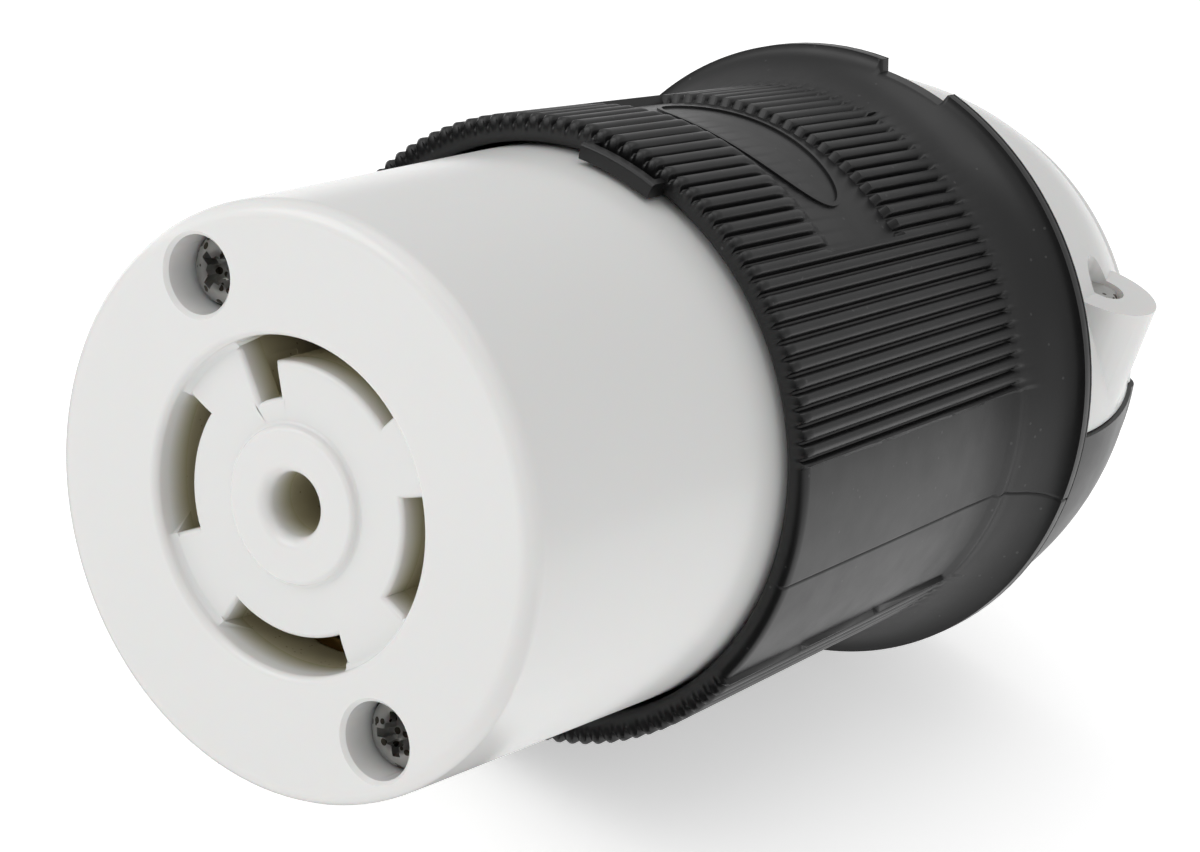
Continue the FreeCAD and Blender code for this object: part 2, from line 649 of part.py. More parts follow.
def make_terminal_plate(terminal, angle):
    body = new_part(f"terminal_plate_{terminal}")
    low = "tail_radius + tail_thick + wire_gap"
    half = "plate_length / 2"
    sketch = outline(body, "XY_Plane", "plate_outline",
                     rectangle("-tail_width / 2", f"terminal_at - {half}", "tail_width / 2",
                               f"terminal_at + {half}"), shift=low)
    raised(body, "plate", sketch, "plate_thick")
    hole = rings(body, "XY_Plane", "hole_outline",
                 [("0", "terminal_at", "terminal_screw_radius + screw_slip")], shift=low)
    sunk(body, "hole", hole, "plate_thick + cut_past", backwards=True)
    turn_about_axis(body, angle)
    return body


def make_terminal_screw(terminal, angle):
    """A terminal screw that stands on its clamp plate, pointing at the connector's axis."""
    body = screw(f"terminal_screw_{terminal}", "terminal_head_radius", "terminal_head_height",
                 "terminal_screw_radius", "terminal_screw_length")
    seat = "(tail_radius + tail_thick + wire_gap + plate_thick)"
    turn_about_axis(body, angle)
    body.setExpression("Placement.Base.x", bound(f"{seat} * sin({angle})"))
    body.setExpression("Placement.Base.y", bound("terminal_at"))
    body.setExpression("Placement.Base.z", bound(f"{seat} * cos({angle})"))
    return body


def bound_primitive(kind, name, **sizes):
    """A Part primitive whose sizes are expressions over the sheet."""
    shape = doc.addObject(kind, name)
    for prop, expression in sizes.items():
        shape.setExpression(prop, bound(expression))
    return shape


def cut_from(base, tool, name):
    cut = doc.addObject("Part::Cut", name)
    cut.Base = base
    cut.Tool = tool
    return cut


def group(name, members):
    """Identical fasteners that share one node."""
    compound = new_part(name, "Part::Compound")
    compound.Links = members
    return compound


def make_block_screws():
    screws = []
    for number, angle in enumerate(BLOCK_SCREWS, 1):
        head = bound_primitive("Part::Cylinder", f"small_head_{number}",
                               Radius="block_head_radius", Height="block_head_height")
        shank = bound_primitive("Part::Cylinder", f"small_shank_{number}",
                                Radius="block_screw_radius", Height="block_screw_length")
        shank.setExpression("Placement.Base.z", bound("-block_screw_length"))
        fused = doc.addObject("Part::Fuse", f"small_blank_{number}")
        fused.Base = head
        fused.Tool = shank
        slot = bound_primitive("Part::Box", f"small_slot_{number}", Length="block_head_radius * 4",
                               Width="block_head_radius * small_slot_width", Height="block_head_height")
        slot.setExpression("Placement.Base.x", bound("-block_head_radius * 2"))
        slot.setExpression("Placement.Base.y", bound("-block_head_radius * small_slot_width / 2"))
        slot.setExpression("Placement.Base.z", bound("block_head_height * small_slot_floor"))
        screws.append(cut_from(fused, slot, f"small_screw_{number}"))
        screws[-1].Placement = Placement(Vector(), Rotation(Vector(1, 0, 0), -90))
        screws[-1].setExpression("Placement.Base.x", bound(f"block_screw_circle * sin({angle})"))
        screws[-1].setExpression("Placement.Base.y", bound("carrier_end + block_thick"))
        screws[-1].setExpression("Placement.Base.z", bound(f"block_screw_circle * cos({angle})"))
    return group("block_screws", screws)


# ---- the black housing -----------------------------------------------------------------------

def crest(distance):
    """Radius over the ribs at a distance along the axis."""
    return f"(crest_front + (crest_rear - crest_front) * (({distance}) - shown_length) " \
           f"/ (ribs_end - shown_length))"


def rib_valley(body, name, first_angle):
    """One valley between two ribs, tapering with the housing, repeated over one zone."""
    sketches = []
    for end, distance in (("front", "shown_length - cut_past"), ("rear", "ribs_end + cut_past")):
        top = crest(distance)
        points = [
            ("-rib_valley_half", f"{top} + valley_past"),
            ("-rib_valley_half", f"{top} + valley_edge", "rib_flank", -1),
            ("0", f"{top} - rib_depth", "rib_flank", -1),
            ("rib_valley_half", f"{top} + valley_edge"),
            ("rib_valley_half", f"{top} + valley_past"),
        ]
        sketches.append(outline(body, "XZ_Plane", f"{name}_{end}", points,
                                shift=f"-({distance})", turn=f"-({first_angle})"))
    doc.recompute()
    valley = body.newObject("PartDesign::SubtractiveLoft", name)
    valley.Profile = sketches[0]
    valley.Sections = [sketches[1]]
    valley.Ruled = True
    doc.recompute()
    pattern = body.newObject("PartDesign::PolarPattern", name + "s")
    pattern.Originals = [valley]
    pattern.Axis = (origin_item(body, "Y_Axis"), [""])
    pattern.Mode = "Spacing"
    pattern.Offset = size("rib_pitch")
    pattern.setExpression("Offset", bound("rib_pitch"))
    pattern.setExpression("Occurrences", bound(VALLEYS))
    body.Tip = pattern
    doc.recompute()
    return pattern


def neck_outline(start):
    """The outer curve of the cord end from a distance along the axis to the last face."""
    return [
        ("neck_root", start, "neck_bulge", 1),
        ("neck_end", "total_length - neck_round", "neck_round", 1),
        ("neck_end - neck_round", "total_length"),
    ]


def make_housing():
    body = new_part("housing_shell")
    bore = "(body_radius + bore_gap)"
    shoulder = f"({BODY_LENGTH} + shoulder_gap)"
    jaw_front = "(total_length - jaw_wall)"
    rim_rear = "(skirt_front + rim_thick)"
    turned(body, "shell", [
        (f"{bore} + lip_bevel", "shown_length"),
        ("crest_front - lip_round", "shown_length"),
        ("crest_front", "shown_length + lip_round"),
        ("crest_rear", "ribs_end", "flare_radius", -1),
        ("skirt_radius", "skirt_front"),
        ("skirt_radius", rim_rear),
        ("neck_root", rim_rear),
        *neck_outline(f"{rim_rear} + 0.01"),
        ("0", "total_length"),
        ("0", jaw_front),
        ("chamber_radius", jaw_front),
        ("chamber_radius", "seal_at + seal_thick"),
        ("seal_radius", "seal_at + seal_thick"),
        ("seal_radius", "seal_at"),
        ("chamber_radius", "seal_at"),
        ("chamber_radius", shoulder),
        (bore, shoulder),
        (bore, "shown_length + lip_bevel"),
    ])
    # pillars for the clamp screws, trimmed to the outer curve of the cord end
    for side in ("-", ""):
        name = "left" if side else "right"
        sketch = rings(body, "XY_Plane", f"pillar_{name}_outline",
                       [(f"{side}ear_offset", "ear_at", "ear_radius")], shift="lower_pillar_end")
        raised(body, f"pillar_{name}", sketch, "split_height - lower_pillar_end")
    trim = body.newObject("PartDesign::Groove", "neck_trim")
    trim.Profile = outline(body, "XY_Plane", "neck_trim_outline", [
        neck_outline(rim_rear)[0],
        ("neck_end", "total_length - neck_round"),
        ("neck_end", "total_length + trim_past"),
        ("skirt_radius + trim_past", "total_length + trim_past"),
        ("skirt_radius + trim_past", rim_rear),
    ])
    trim.ReferenceAxis = (trim.Profile[0], ["V_Axis"])
    trim.Angle = 360
    doc.recompute()
    # tubes for the long screws and pockets for their nuts
    tubes = [(*polar("long_screw_circle", angle), "boss_tube") for angle in LONG_SCREWS.values()]
    along(body, "nut_tubes", rings, tubes, shoulder, "nut_front + nut_thick")
    holes = [(*polar("long_screw_circle", angle), "screw_radius + screw_slip")
             for angle in LONG_SCREWS.values()]
    along(body, "long_screw_holes", rings, holes, shoulder, "nut_front + nut_thick", cut=True)
    for screw_name, angle in LONG_SCREWS.items():
        across, up = polar("long_screw_circle", angle)
        corners = []
        for corner in range(6):
            turn = 60 * corner
            corners.append((f"{across} + (nut_radius + nut_slip) * sin({turn})",
                            f"{up} + (nut_radius + nut_slip) * cos({turn})"))
        along(body, f"nut_pocket_{screw_name}", outline, corners,
              "nut_front", "nut_front + nut_thick", cut=True)
    # the upper jaw's space, and the cord's way through the lower jaw
    along(body, "jaw_space", outline,
          rectangle("-(neck_root + trim_past)", "split_height",
                    "neck_root + trim_past", "neck_root + trim_past"),
          rim_rear, "total_length + cut_past", cut=True)
    cord_way(body, jaw_front)
    # holes for the clamp screws, with pockets for their heads from below
    for side, name in ((-1, "left"), (1, "right")):
        centre = (f"{side} * ear_offset", "ear_at")
        hole = rings(body, "XY_Plane", f"clamp_hole_{name}_outline",
                     [(*centre, "screw_radius + screw_slip")], shift="split_height")
        sunk(body, f"clamp_hole_{name}", hole, "split_height - clamp_seat + cut_past")
        pocket = rings(body, "XY_Plane", f"clamp_pocket_{name}_outline",
                       [(*centre, "clamp_pocket_radius")], shift="clamp_seat")
        sunk(body, f"clamp_pocket_{name}", pocket, "clamp_seat - lower_pillar_end + cut_past")
    # plain sides, the plain band over the ribs, the key tab and the notch in the rim
    for name, middle in (("right", "90"), ("left", "270")):
        sector(body, f"plain_side_{name}", [
            (crest("shown_length - cut_past") + " - side_flat_depth", "shown_length - cut_past"),
            (crest("ribs_end") + " - side_flat_depth", "ribs_end", "flare_radius", -1),
            ("crest_rear + side_fade_rise", "ribs_end + side_fade"),
            (crest("shown_length - cut_past") + " + 2 * cut_past", "shown_length - cut_past"),
        ], middle, "side_flat_span")
    sector(body, "panel", [
        (crest("panel_start") + " - panel_depth", "panel_start"),
        (crest("panel_end") + " - panel_depth", "panel_end"),
        (crest("panel_end") + " + 2 * cut_past", "panel_end"),
        (crest("panel_start") + " + 2 * cut_past", "panel_start - panel_slope"),
        (crest("panel_start"), "panel_start - panel_foot"),
    ], "0", "panel_span")
    key_inside = f"({bore})"
    sector(body, "key_tab", [
        (key_inside, "shown_length - key_reach"),
        (f"{key_inside} + key_thick", "shown_length - key_reach"),
        (f"{key_inside} + key_thick + key_edge", "shown_length - key_reach + key_edge"),
        (f"{key_inside} + key_thick + key_edge", "shown_length + key_root"),
        (key_inside, "shown_length + key_root"),
    ], "0", "key_span", cut=False)
    sector(body, "key_trough", [
        (f"{key_inside} + key_floor", "shown_length - key_reach + key_wall"),
        (f"{key_inside} + key_thick + cut_past", "shown_length - key_reach + key_wall"),
        (f"{key_inside} + key_thick + cut_past", "shown_length - 0.01"),
        (f"{key_inside} + key_thick - key_edge", "shown_length"),
        (f"{key_inside} + key_thick - key_edge", "shown_length + cut_past"),
        (f"{key_inside} + key_floor", "shown_length + cut_past"),
    ], "0", "key_span - key_ends")
    sector(body, "rim_notch", [
        ("skirt_radius - notch_depth", "skirt_front - notch_reach"),
        ("skirt_radius + cut_past", "skirt_front - notch_reach"),
        ("skirt_radius + cut_past", f"{rim_rear} + 0.01"),
        ("skirt_radius - notch_depth", f"{rim_rear} + 0.01"),
    ], "0", "notch_span")
    sector(body, "rim_slot", [
        ("skirt_radius - rim_slot_depth", "skirt_front - rim_slot_front"),
        ("skirt_radius + cut_past", "skirt_front - rim_slot_front"),
        ("skirt_radius + cut_past", "skirt_front + rim_thick - rim_slot_rear"),
        ("skirt_radius - rim_slot_depth", "skirt_front + rim_thick - rim_slot_rear"),
    ], "-notch_span / 2 - rim_slot_away", "rim_slot_span")
    rib_valley(body, "upper_valley", f"-({VALLEYS} - 1) / 2 * rib_pitch")
    rib_valley(body, "lower_valley", f"180 - ({VALLEYS} - 1) / 2 * rib_pitch")
    return body


def cord_way(body, jaw_front, middle="0"):
    """The cord's hole through a jaw, and the grooves that leave ridges to grip the cord."""
    tall = [
        ("-jaw_radius", middle, "jaw_radius", 1),
        ("0", f"{middle} - jaw_radius", "jaw_radius", 1),
        ("jaw_radius", middle),
        ("jaw_radius", f"{middle} + neck_root + trim_past"),
        ("-jaw_radius", f"{middle} + neck_root + trim_past"),
    ]
    round_hole = [("0", middle, "jaw_radius")]
    if body.Label == "housing_shell":
        along(body, "cord_way", outline, tall, jaw_front, "total_length + cut_past", cut=True)
    else:
        along(body, "cord_way", rings, round_hole, jaw_front, "total_length + cut_past", cut=True)
    for number in (1, 2):
        start = f"({jaw_front} + jaw_wall * {number} / 3 - jaw_groove_width / 2)"
        along(body, f"jaw_groove_{number}", rings, [("0", middle, "jaw_radius + jaw_groove")],
              start, f"{start} + jaw_groove_width", cut=True)


def make_cord_clamp():
    """The white upper jaw, drawn where it sits with the screws slack, then lowered."""
    body = new_part("cord_clamp")
    front = "(skirt_front + rim_thick + clamp_gap)"
    jaw_front = "(total_length - jaw_wall)"
    split = "(split_height + split_gap + clamp_drop)"
    turned(body, "dome", [
        ("neck_root - clamp_wall", front),
        *neck_outline(front),
        ("0", "total_length"),
        ("0", jaw_front),
        ("neck_root - clamp_wall - dome_step", jaw_front),
        ("neck_root - clamp_wall", f"{jaw_front} - dome_slope"),
    ])
    for side, name in ((-1, "left"), (1, "right")):
        sketch = rings(body, "XY_Plane", f"ear_{name}_outline",
                       [(f"{side} * ear_offset", "ear_at", "ear_radius")], shift=split)
        raised(body, f"ear_{name}", sketch, f"ear_top + clamp_drop - {split}")
    along(body, "lower_half", outline,
          rectangle("-(neck_root + trim_past)", "-(neck_root + trim_past)",
                    "neck_root + trim_past", split),
          f"{front} - cut_past", "total_length + cut_past", cut=True)
    cord_way(body, jaw_front, middle="clamp_drop")
    for side, name in ((-1, "left"), (1, "right")):
        centre = (f"{side} * ear_offset", "ear_at")
        hole = rings(body, "XY_Plane", f"screw_hole_{name}_outline",
                     [(*centre, "screw_radius + screw_slip")], shift="neck_root + cut_past")
        sunk(body, f"screw_hole_{name}", hole, "neck_root + cut_past")
        half = "(clamp_nut_side / 2 + nut_slip)"
        ends = sorted([f"{side} * (ear_offset + {half})",
                       f"{side} * (ear_offset - ear_radius - 2 * cut_past)"], key=size)
        pocket = outline(body, "XY_Plane", f"nut_pocket_{name}_outline",
                         rectangle(ends[0], f"ear_at - {half}", ends[1], f"ear_at + {half}"),
                         shift="clamp_nut_low + clamp_drop")
        sunk(body, f"nut_pocket_{name}", pocket, "nut_thick", backwards=True)
    body.setExpression("Placement.Base.z", bound("-clamp_drop"))
    return body


def make_clamp_screw(side, name):
    """A clamp screw, head down in the lower jaw, its end in the nut of the upper jaw."""
    body = screw(f"clamp_screw_{name}", "clamp_head_radius", "clamp_head_height", "screw_radius",
                 "clamp_screw_end - clamp_seat")
    body.Placement = Placement(Vector(), Rotation(Vector(1, 0, 0), 180))
    body.setExpression("Placement.Base.x", bound(f"{side} * ear_offset"))
    body.setExpression("Placement.Base.y", bound("ear_at"))
    body.setExpression("Placement.Base.z", bound("clamp_seat"))
    return body


def make_long_screw(name, angle):
    body = screw(f"assembly_screw_{name}", "long_head_radius", "long_head_height", "screw_radius",
                 "nut_front + long_screw_tail - pocket_depth")
    placed_along_y(body, "long_screw_circle", angle, "pocket_depth")
    return body


def make_assembly_nuts():
    nuts = []
    for name, angle in LONG_SCREWS.items():
        blank = bound_primitive("Part::Prism", f"nut_blank_{name}",
                                Circumradius="nut_radius", Height="nut_thick")
        blank.Polygon = 6
        blank.Placement = Placement(Vector(), Rotation(Vector(0, 0, 1), 30))
        hole = bound_primitive("Part::Cylinder", f"nut_hole_{name}",
                               Radius="screw_radius + thread_slip", Height="nut_thick")
        nuts.append(cut_from(blank, hole, f"nut_{name}"))
        placed_along_y(nuts[-1], "long_screw_circle", angle, "nut_front + nut_thick")
    return group("assembly_nuts", nuts)


def make_clamp_nuts():
    nuts = []
    for side, name in ((-1, "left"), (1, "right")):
        blank = bound_primitive("Part::Box", f"square_blank_{name}", Length="clamp_nut_side",
                                Width="clamp_nut_side", Height="nut_thick")
        blank.setExpression("Placement.Base.x", bound(f"{side} * ear_offset - clamp_nut_side / 2"))
        blank.setExpression("Placement.Base.y", bound("ear_at - clamp_nut_side / 2"))
        blank.setExpression("Placement.Base.z", bound("clamp_nut_low"))
        hole = bound_primitive("Part::Cylinder", f"square_hole_{name}",
                               Radius="screw_radius + thread_slip", Height="nut_thick * 3")
        hole.setExpression("Placement.Base.x", bound(f"{side} * ear_offset"))
        hole.setExpression("Placement.Base.y", bound("ear_at"))
        hole.setExpression("Placement.Base.z", bound("clamp_nut_low - nut_thick"))
        nuts.append(cut_from(blank, hole, f"square_nut_{name}"))
    return group("clamp_nuts", nuts)


def make_cord_seal():
    body = new_part("cord_seal")
    turned(body, "seal", [
        ("seal_hole", "seal_at"),
        ("seal_radius", "seal_at"),
        ("seal_radius", "seal_at + seal_thick"),
        ("seal_hole + seal_hub_root", "seal_at + seal_thick"),
        ("seal_hole + seal_hub_wall", "seal_at + seal_thick + seal_hub"),
        ("seal_hole", "seal_at + seal_thick + seal_hub"),
    ])
    return body


# ---- build everything -----------------------------------------------------------------------------

make_face_body()
make_carrier()
for slot_name in SLOTS:
    make_contact(slot_name)
make_ground_sleeve()
make_ground_strap()
make_terminal_block()
make_block_screws()
for terminal_name, terminal_angle in TERMINALS.items():
    make_terminal_plate(terminal_name, terminal_angle)
    make_terminal_screw(terminal_name, terminal_angle)
make_housing()
make_cord_seal()
make_cord_clamp()
make_clamp_screw(-1, "left")
make_clamp_screw(1, "right")
make_clamp_nuts()
for long_name, long_angle in LONG_SCREWS.items():
    make_long_screw(long_name, long_angle)
make_assembly_nuts()
doc.recompute()

faults = [item.Name for item in doc.Objects if "Invalid" in item.State or "Error" in item.State]
faults += [part.Label for part in parts if part.Shape.isNull() or not part.Shape.isValid()]
if faults:
    raise RuntimeError("failed: " + ", ".join(faults))

os.makedirs("parts", exist_ok=True)
for part in parts:
    part.Shape.exportStep(os.path.join("parts", part.Label + ".step"))
    print(f"{part.Label:24} {len(part.Shape.Solids)} solid(s) {part.Shape.Volume:9.1f} mm3")
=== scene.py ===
# %% [markdown]
# # A locking cord connector
# This lesson dresses a ready engineering model of a heavy cord connector: the female end of
# a power cord, with a glossy white front shell, a ribbed black housing and a white jaw that
# clamps the cord. The engineering model fixes every size and every joint. Here we model the
# surfaces that the eye meets, give everything a finish, and light it like a catalogue picture.

# %% Load the fixed frame
import json
import math

import bmesh
import bpy
from mathutils import Matrix, Quaternion, Vector


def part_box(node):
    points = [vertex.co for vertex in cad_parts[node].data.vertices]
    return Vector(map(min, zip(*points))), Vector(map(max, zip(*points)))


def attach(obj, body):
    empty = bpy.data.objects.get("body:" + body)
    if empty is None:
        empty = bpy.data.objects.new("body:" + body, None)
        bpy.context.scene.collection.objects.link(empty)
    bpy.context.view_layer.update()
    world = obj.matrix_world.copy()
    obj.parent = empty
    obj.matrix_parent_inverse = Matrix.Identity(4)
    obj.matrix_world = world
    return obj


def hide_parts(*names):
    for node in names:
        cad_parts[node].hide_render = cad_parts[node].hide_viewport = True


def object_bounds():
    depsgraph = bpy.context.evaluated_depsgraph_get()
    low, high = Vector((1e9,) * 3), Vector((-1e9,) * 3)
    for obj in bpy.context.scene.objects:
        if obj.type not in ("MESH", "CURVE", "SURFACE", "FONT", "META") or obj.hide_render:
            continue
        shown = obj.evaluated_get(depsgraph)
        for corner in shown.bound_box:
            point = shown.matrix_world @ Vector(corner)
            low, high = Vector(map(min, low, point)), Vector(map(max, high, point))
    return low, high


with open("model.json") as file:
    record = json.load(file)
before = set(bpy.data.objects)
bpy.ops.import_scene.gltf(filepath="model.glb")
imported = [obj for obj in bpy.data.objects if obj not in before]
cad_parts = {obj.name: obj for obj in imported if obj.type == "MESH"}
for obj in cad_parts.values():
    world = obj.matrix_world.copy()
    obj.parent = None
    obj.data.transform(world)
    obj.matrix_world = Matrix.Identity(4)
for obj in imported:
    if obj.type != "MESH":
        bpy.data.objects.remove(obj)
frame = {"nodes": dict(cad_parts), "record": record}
cad_box = [list(corner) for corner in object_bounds()]

# %% [markdown]
# The connector lies along Y: its mating face is at Y = 0 and looks towards -Y, the cord
# leaves at the far end, and +Z is the side with the key tab. Angles round the axis start at
# +Z and grow towards +X. Lengths are written in millimetres and multiplied by MM.

# %% Units and the sizes that the frame gives
MM = 0.001


def node_box(name):
    """Lowest and highest corner of an engineering node, in millimetres."""
    return [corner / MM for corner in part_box(name)]


SHELL_RADIUS = node_box("face_body")[1].x
SHELL_END = node_box("face_body")[1].y
SKIRT_RADIUS = node_box("housing_shell")[1].x
print("shell radius", round(SHELL_RADIUS, 2), "skirt radius", round(SKIRT_RADIUS, 2))

# %% [markdown]
# The camera stands to the right of the face, a little above it, and is rolled, so that the
# connector seems to fall away to the upper right. A long lens from a third of a metre keeps
# the round face nearly free of perspective. Aim, distance and three angles describe it.

# %% Camera
AIM = Vector((-6.05, 55.9, -6.9)) * MM
DISTANCE = 360 * MM
AZIMUTH, ELEVATION, ROLL = (math.radians(angle) for angle in (29.62, 24.28, 19.15))

back = Vector((math.sin(AZIMUTH) * math.cos(ELEVATION),
               -math.cos(AZIMUTH) * math.cos(ELEVATION), math.sin(ELEVATION)))
camera = bpy.data.objects.new("camera", bpy.data.cameras.new("camera"))
camera.data.lens = 112.62
camera.data.clip_start = 0.01
camera.rotation_mode = "QUATERNION"
camera.rotation_quaternion = Quaternion(back, ROLL) @ back.to_track_quat("Z", "Y")
camera.location = AIM + back * DISTANCE
bpy.context.scene.collection.objects.link(camera)
bpy.context.scene.camera = camera
print("camera at", [round(c, 3) for c in camera.location])

# %% [markdown]
# The studio is a white floor under a white sky, with three large soft lamps. Large lamps
# give the glossy nylon long soft highlights instead of hard spots. The floor glows a little,
# so it stays white in the shadow. Black plastic mirrors its surroundings, so a black card
# that only reflections see keeps the surfaces that look forwards dark. The plain "Standard"
# view keeps white white.

# %% Studio
# The studio's own sizes are in metres.
FLOOR_HEIGHT = cad_box[0][2] - 0.4 * MM
FLOOR_HALF = 4
FLOOR_GLOW = 0.45
SKY_STRENGTH = 0.55
CARD_GAP = 0.1 * MM
CARD_HALF_WIDTH, CARD_BACK, CARD_FRONT, CARD_TOP = 0.4, 0.03, -0.5, 0.2
# Name, place, aim, size and power in watts of each lamp.
LAMPS = [
    ("overhead", (-0.1, 0.0, 0.6), (0, 0.05, 0), 0.6, 1.0),
    ("left_front", (-0.5, -0.5, 0.35), (0, 0.03, 0), 0.5, 1.5),
    ("right_side", (0.6, 0.1, 0.15), (0, 0.06, 0), 0.4, 0.12),
]


def soft_lamp(name, place, aim, size, power):
    """A square area lamp that looks at a point."""
    lamp = bpy.data.lights.new(name, "AREA")
    lamp.size = size
    lamp.energy = power
    holder = bpy.data.objects.new(name, lamp)
    holder.location = place
    holder.rotation_mode = "QUATERNION"
    holder.rotation_quaternion = (Vector(place) - Vector(aim)).to_track_quat("Z", "Y")
    bpy.context.scene.collection.objects.link(holder)


def dark_card():
    """A black card in front of the object that only its reflections show."""
    card = bmesh.new()
    low = FLOOR_HEIGHT + CARD_GAP
    rows = ((CARD_BACK, low), (CARD_FRONT, low), (CARD_FRONT, CARD_TOP))
    verts = [card.verts.new((x, y, z)) for y, z in rows for x in (-CARD_HALF_WIDTH, CARD_HALF_WIDTH)]
    card.faces.new((verts[0], verts[1], verts[3], verts[2]))
    card.faces.new((verts[2], verts[3], verts[5], verts[4]))
    mesh = bpy.data.meshes.new("dark_card")
    card.to_mesh(mesh)
    holder = bpy.data.objects.new("dark_card", mesh)
    bpy.context.scene.collection.objects.link(holder)
    for ray in ("camera", "diffuse", "transmission", "volume_scatter", "shadow"):
        setattr(holder, "visible_" + ray, False)
    black = bpy.data.materials.new("black_card")
    black.use_nodes = True
    black.node_tree.nodes["Principled BSDF"].inputs["Base Color"].default_value = (0, 0, 0, 1)
    black.node_tree.nodes["Principled BSDF"].inputs["Roughness"].default_value = 1.0
    mesh.materials.append(black)


def studio():
    world = bpy.data.worlds.new("studio")
    world.use_nodes = True
    world.node_tree.nodes["Background"].inputs["Color"].default_value = (1, 1, 1, 1)
    world.node_tree.nodes["Background"].inputs["Strength"].default_value = SKY_STRENGTH
    bpy.context.scene.world = world
    bpy.context.scene.view_settings.view_transform = "Standard"

    floor = bmesh.new()
    bmesh.ops.create_grid(floor, x_segments=1, y_segments=1, size=FLOOR_HALF)
    bmesh.ops.translate(floor, verts=floor.verts[:], vec=(0, 0, FLOOR_HEIGHT))
    mesh = bpy.data.meshes.new("floor")
    floor.to_mesh(mesh)
    sheet = bpy.data.objects.new("floor", mesh)
    bpy.context.scene.collection.objects.link(sheet)
    paper = bpy.data.materials.new("white_paper")
    paper.use_nodes = True
    shader = paper.node_tree.nodes["Principled BSDF"]
    shader.inputs["Base Color"].default_value = (0.95, 0.95, 0.95, 1)
    shader.inputs["Roughness"].default_value = 0.9
    shader.inputs["Emission Color"].default_value = (1, 1, 1, 1)
    shader.inputs["Emission Strength"].default_value = FLOOR_GLOW
    mesh.materials.append(paper)
    dark_card()
    for lamp in LAMPS:
        soft_lamp(*lamp)


studio()
print("lamps:", [light.name for light in bpy.data.lights])

# %% [markdown]
# ## Finishes
# Every material is worked out by nodes from Object coordinates, so it stays on the surface
# from any side. Three effects are used again and again, so they are node groups: a moulded
# grain that bends the normal, a slow cloudiness, and small specks.

# %% Node helpers
def add_node(tree, kind, **inputs):
    """A shader node with its sockets set by name: a number, a colour, or another socket."""
    node = tree.nodes.new(kind)
    for name, value in inputs.items():
        socket = node.inputs[name.replace("_", " ")]
        if isinstance(value, bpy.types.NodeSocket):
            tree.links.new(value, socket)
        else:
            socket.default_value = value
    return node


def group_tree(name, inputs, outputs):
    """An empty shader node group with named inputs and outputs."""
    tree = bpy.data.node_groups.new(name, "ShaderNodeTree")
    for socket, kind, value in inputs:
        made = tree.interface.new_socket(socket, in_out="INPUT", socket_type=kind)
        made.default_value = value
    for socket, kind in outputs:
        tree.interface.new_socket(socket, in_out="OUTPUT", socket_type=kind)
    return tree, tree.nodes.new("NodeGroupInput"), tree.nodes.new("NodeGroupOutput")


def object_place(tree):
    return tree.nodes.new("ShaderNodeTexCoord").outputs["Object"]


def ramp(tree, value, start, end):
    """0 at the start, 1 at the end and held outside them. Both are in millimetres."""
    node = add_node(tree, "ShaderNodeMapRange", Value=value)
    node.inputs["From Min"].default_value = start * MM
    node.inputs["From Max"].default_value = end * MM
    return node.outputs["Result"]


def combined(tree, operation, first, second):
    """A math node that takes two sockets."""
    node = tree.nodes.new("ShaderNodeMath")
    node.operation = operation
    tree.links.new(first, node.inputs[0])
    tree.links.new(second, node.inputs[1])
    return node.outputs["Value"]


# %% Shared groups: moulded grain, cloudiness and specks
def make_moulded_grain():
    tree, given, result = group_tree(
        "moulded_grain",
        [("Scale", "NodeSocketFloat", 1500.0), ("Strength", "NodeSocketFloat", 0.1),
         ("Depth", "NodeSocketFloat", 0.00002)],
        [("Normal", "NodeSocketVector")])
    noise = add_node(tree, "ShaderNodeTexNoise", Vector=object_place(tree),
                     Scale=given.outputs["Scale"], Detail=4.0, Roughness=0.6)
    bump = add_node(tree, "ShaderNodeBump", Strength=given.outputs["Strength"],
                    Distance=given.outputs["Depth"], Height=noise.outputs["Fac"])
    tree.links.new(bump.outputs["Normal"], result.inputs["Normal"])
    return tree


def make_cloudiness():
    tree, given, result = group_tree(
        "cloudiness",
        [("Scale", "NodeSocketFloat", 60.0), ("Low", "NodeSocketFloat", 0.0),
         ("High", "NodeSocketFloat", 1.0)],
        [("Value", "NodeSocketFloat")])
    noise = add_node(tree, "ShaderNodeTexNoise", Vector=object_place(tree),
                     Scale=given.outputs["Scale"], Detail=3.0, Roughness=0.55)
    spread = add_node(tree, "ShaderNodeMapRange", Value=noise.outputs["Fac"])
    spread.inputs["From Min"].default_value = 0.3
    spread.inputs["From Max"].default_value = 0.7
    tree.links.new(given.outputs["Low"], spread.inputs["To Min"])
    tree.links.new(given.outputs["High"], spread.inputs["To Max"])
    tree.links.new(spread.outputs["Result"], result.inputs["Value"])
    return tree


def make_specks():
    tree, given, result = group_tree(
        "specks",
        [("Scale", "NodeSocketFloat", 900.0), ("Size", "NodeSocketFloat", 0.2),
         ("Share", "NodeSocketFloat", 0.3)],
        [("Mask", "NodeSocketFloat")])
    cells = add_node(tree, "ShaderNodeTexVoronoi", Vector=object_place(tree),
                     Scale=given.outputs["Scale"])
    near = combined(tree, "LESS_THAN", cells.outputs["Distance"], given.outputs["Size"])
    split = add_node(tree, "ShaderNodeSeparateColor", Color=cells.outputs["Color"])
    chosen = combined(tree, "LESS_THAN", split.outputs["Red"], given.outputs["Share"])
    tree.links.new(combined(tree, "MULTIPLY", near, chosen), result.inputs["Mask"])
    return tree


SHARED = {"grain": make_moulded_grain(), "cloud": make_cloudiness(), "specks": make_specks()}


def shared(tree, name, **inputs):
    """A shared group placed in a material with its own values."""
    node = tree.nodes.new("ShaderNodeGroup")
    node.node_tree = SHARED[name]
    for socket, value in inputs.items():
        node.inputs[socket].default_value = value
    return node.outputs[0]


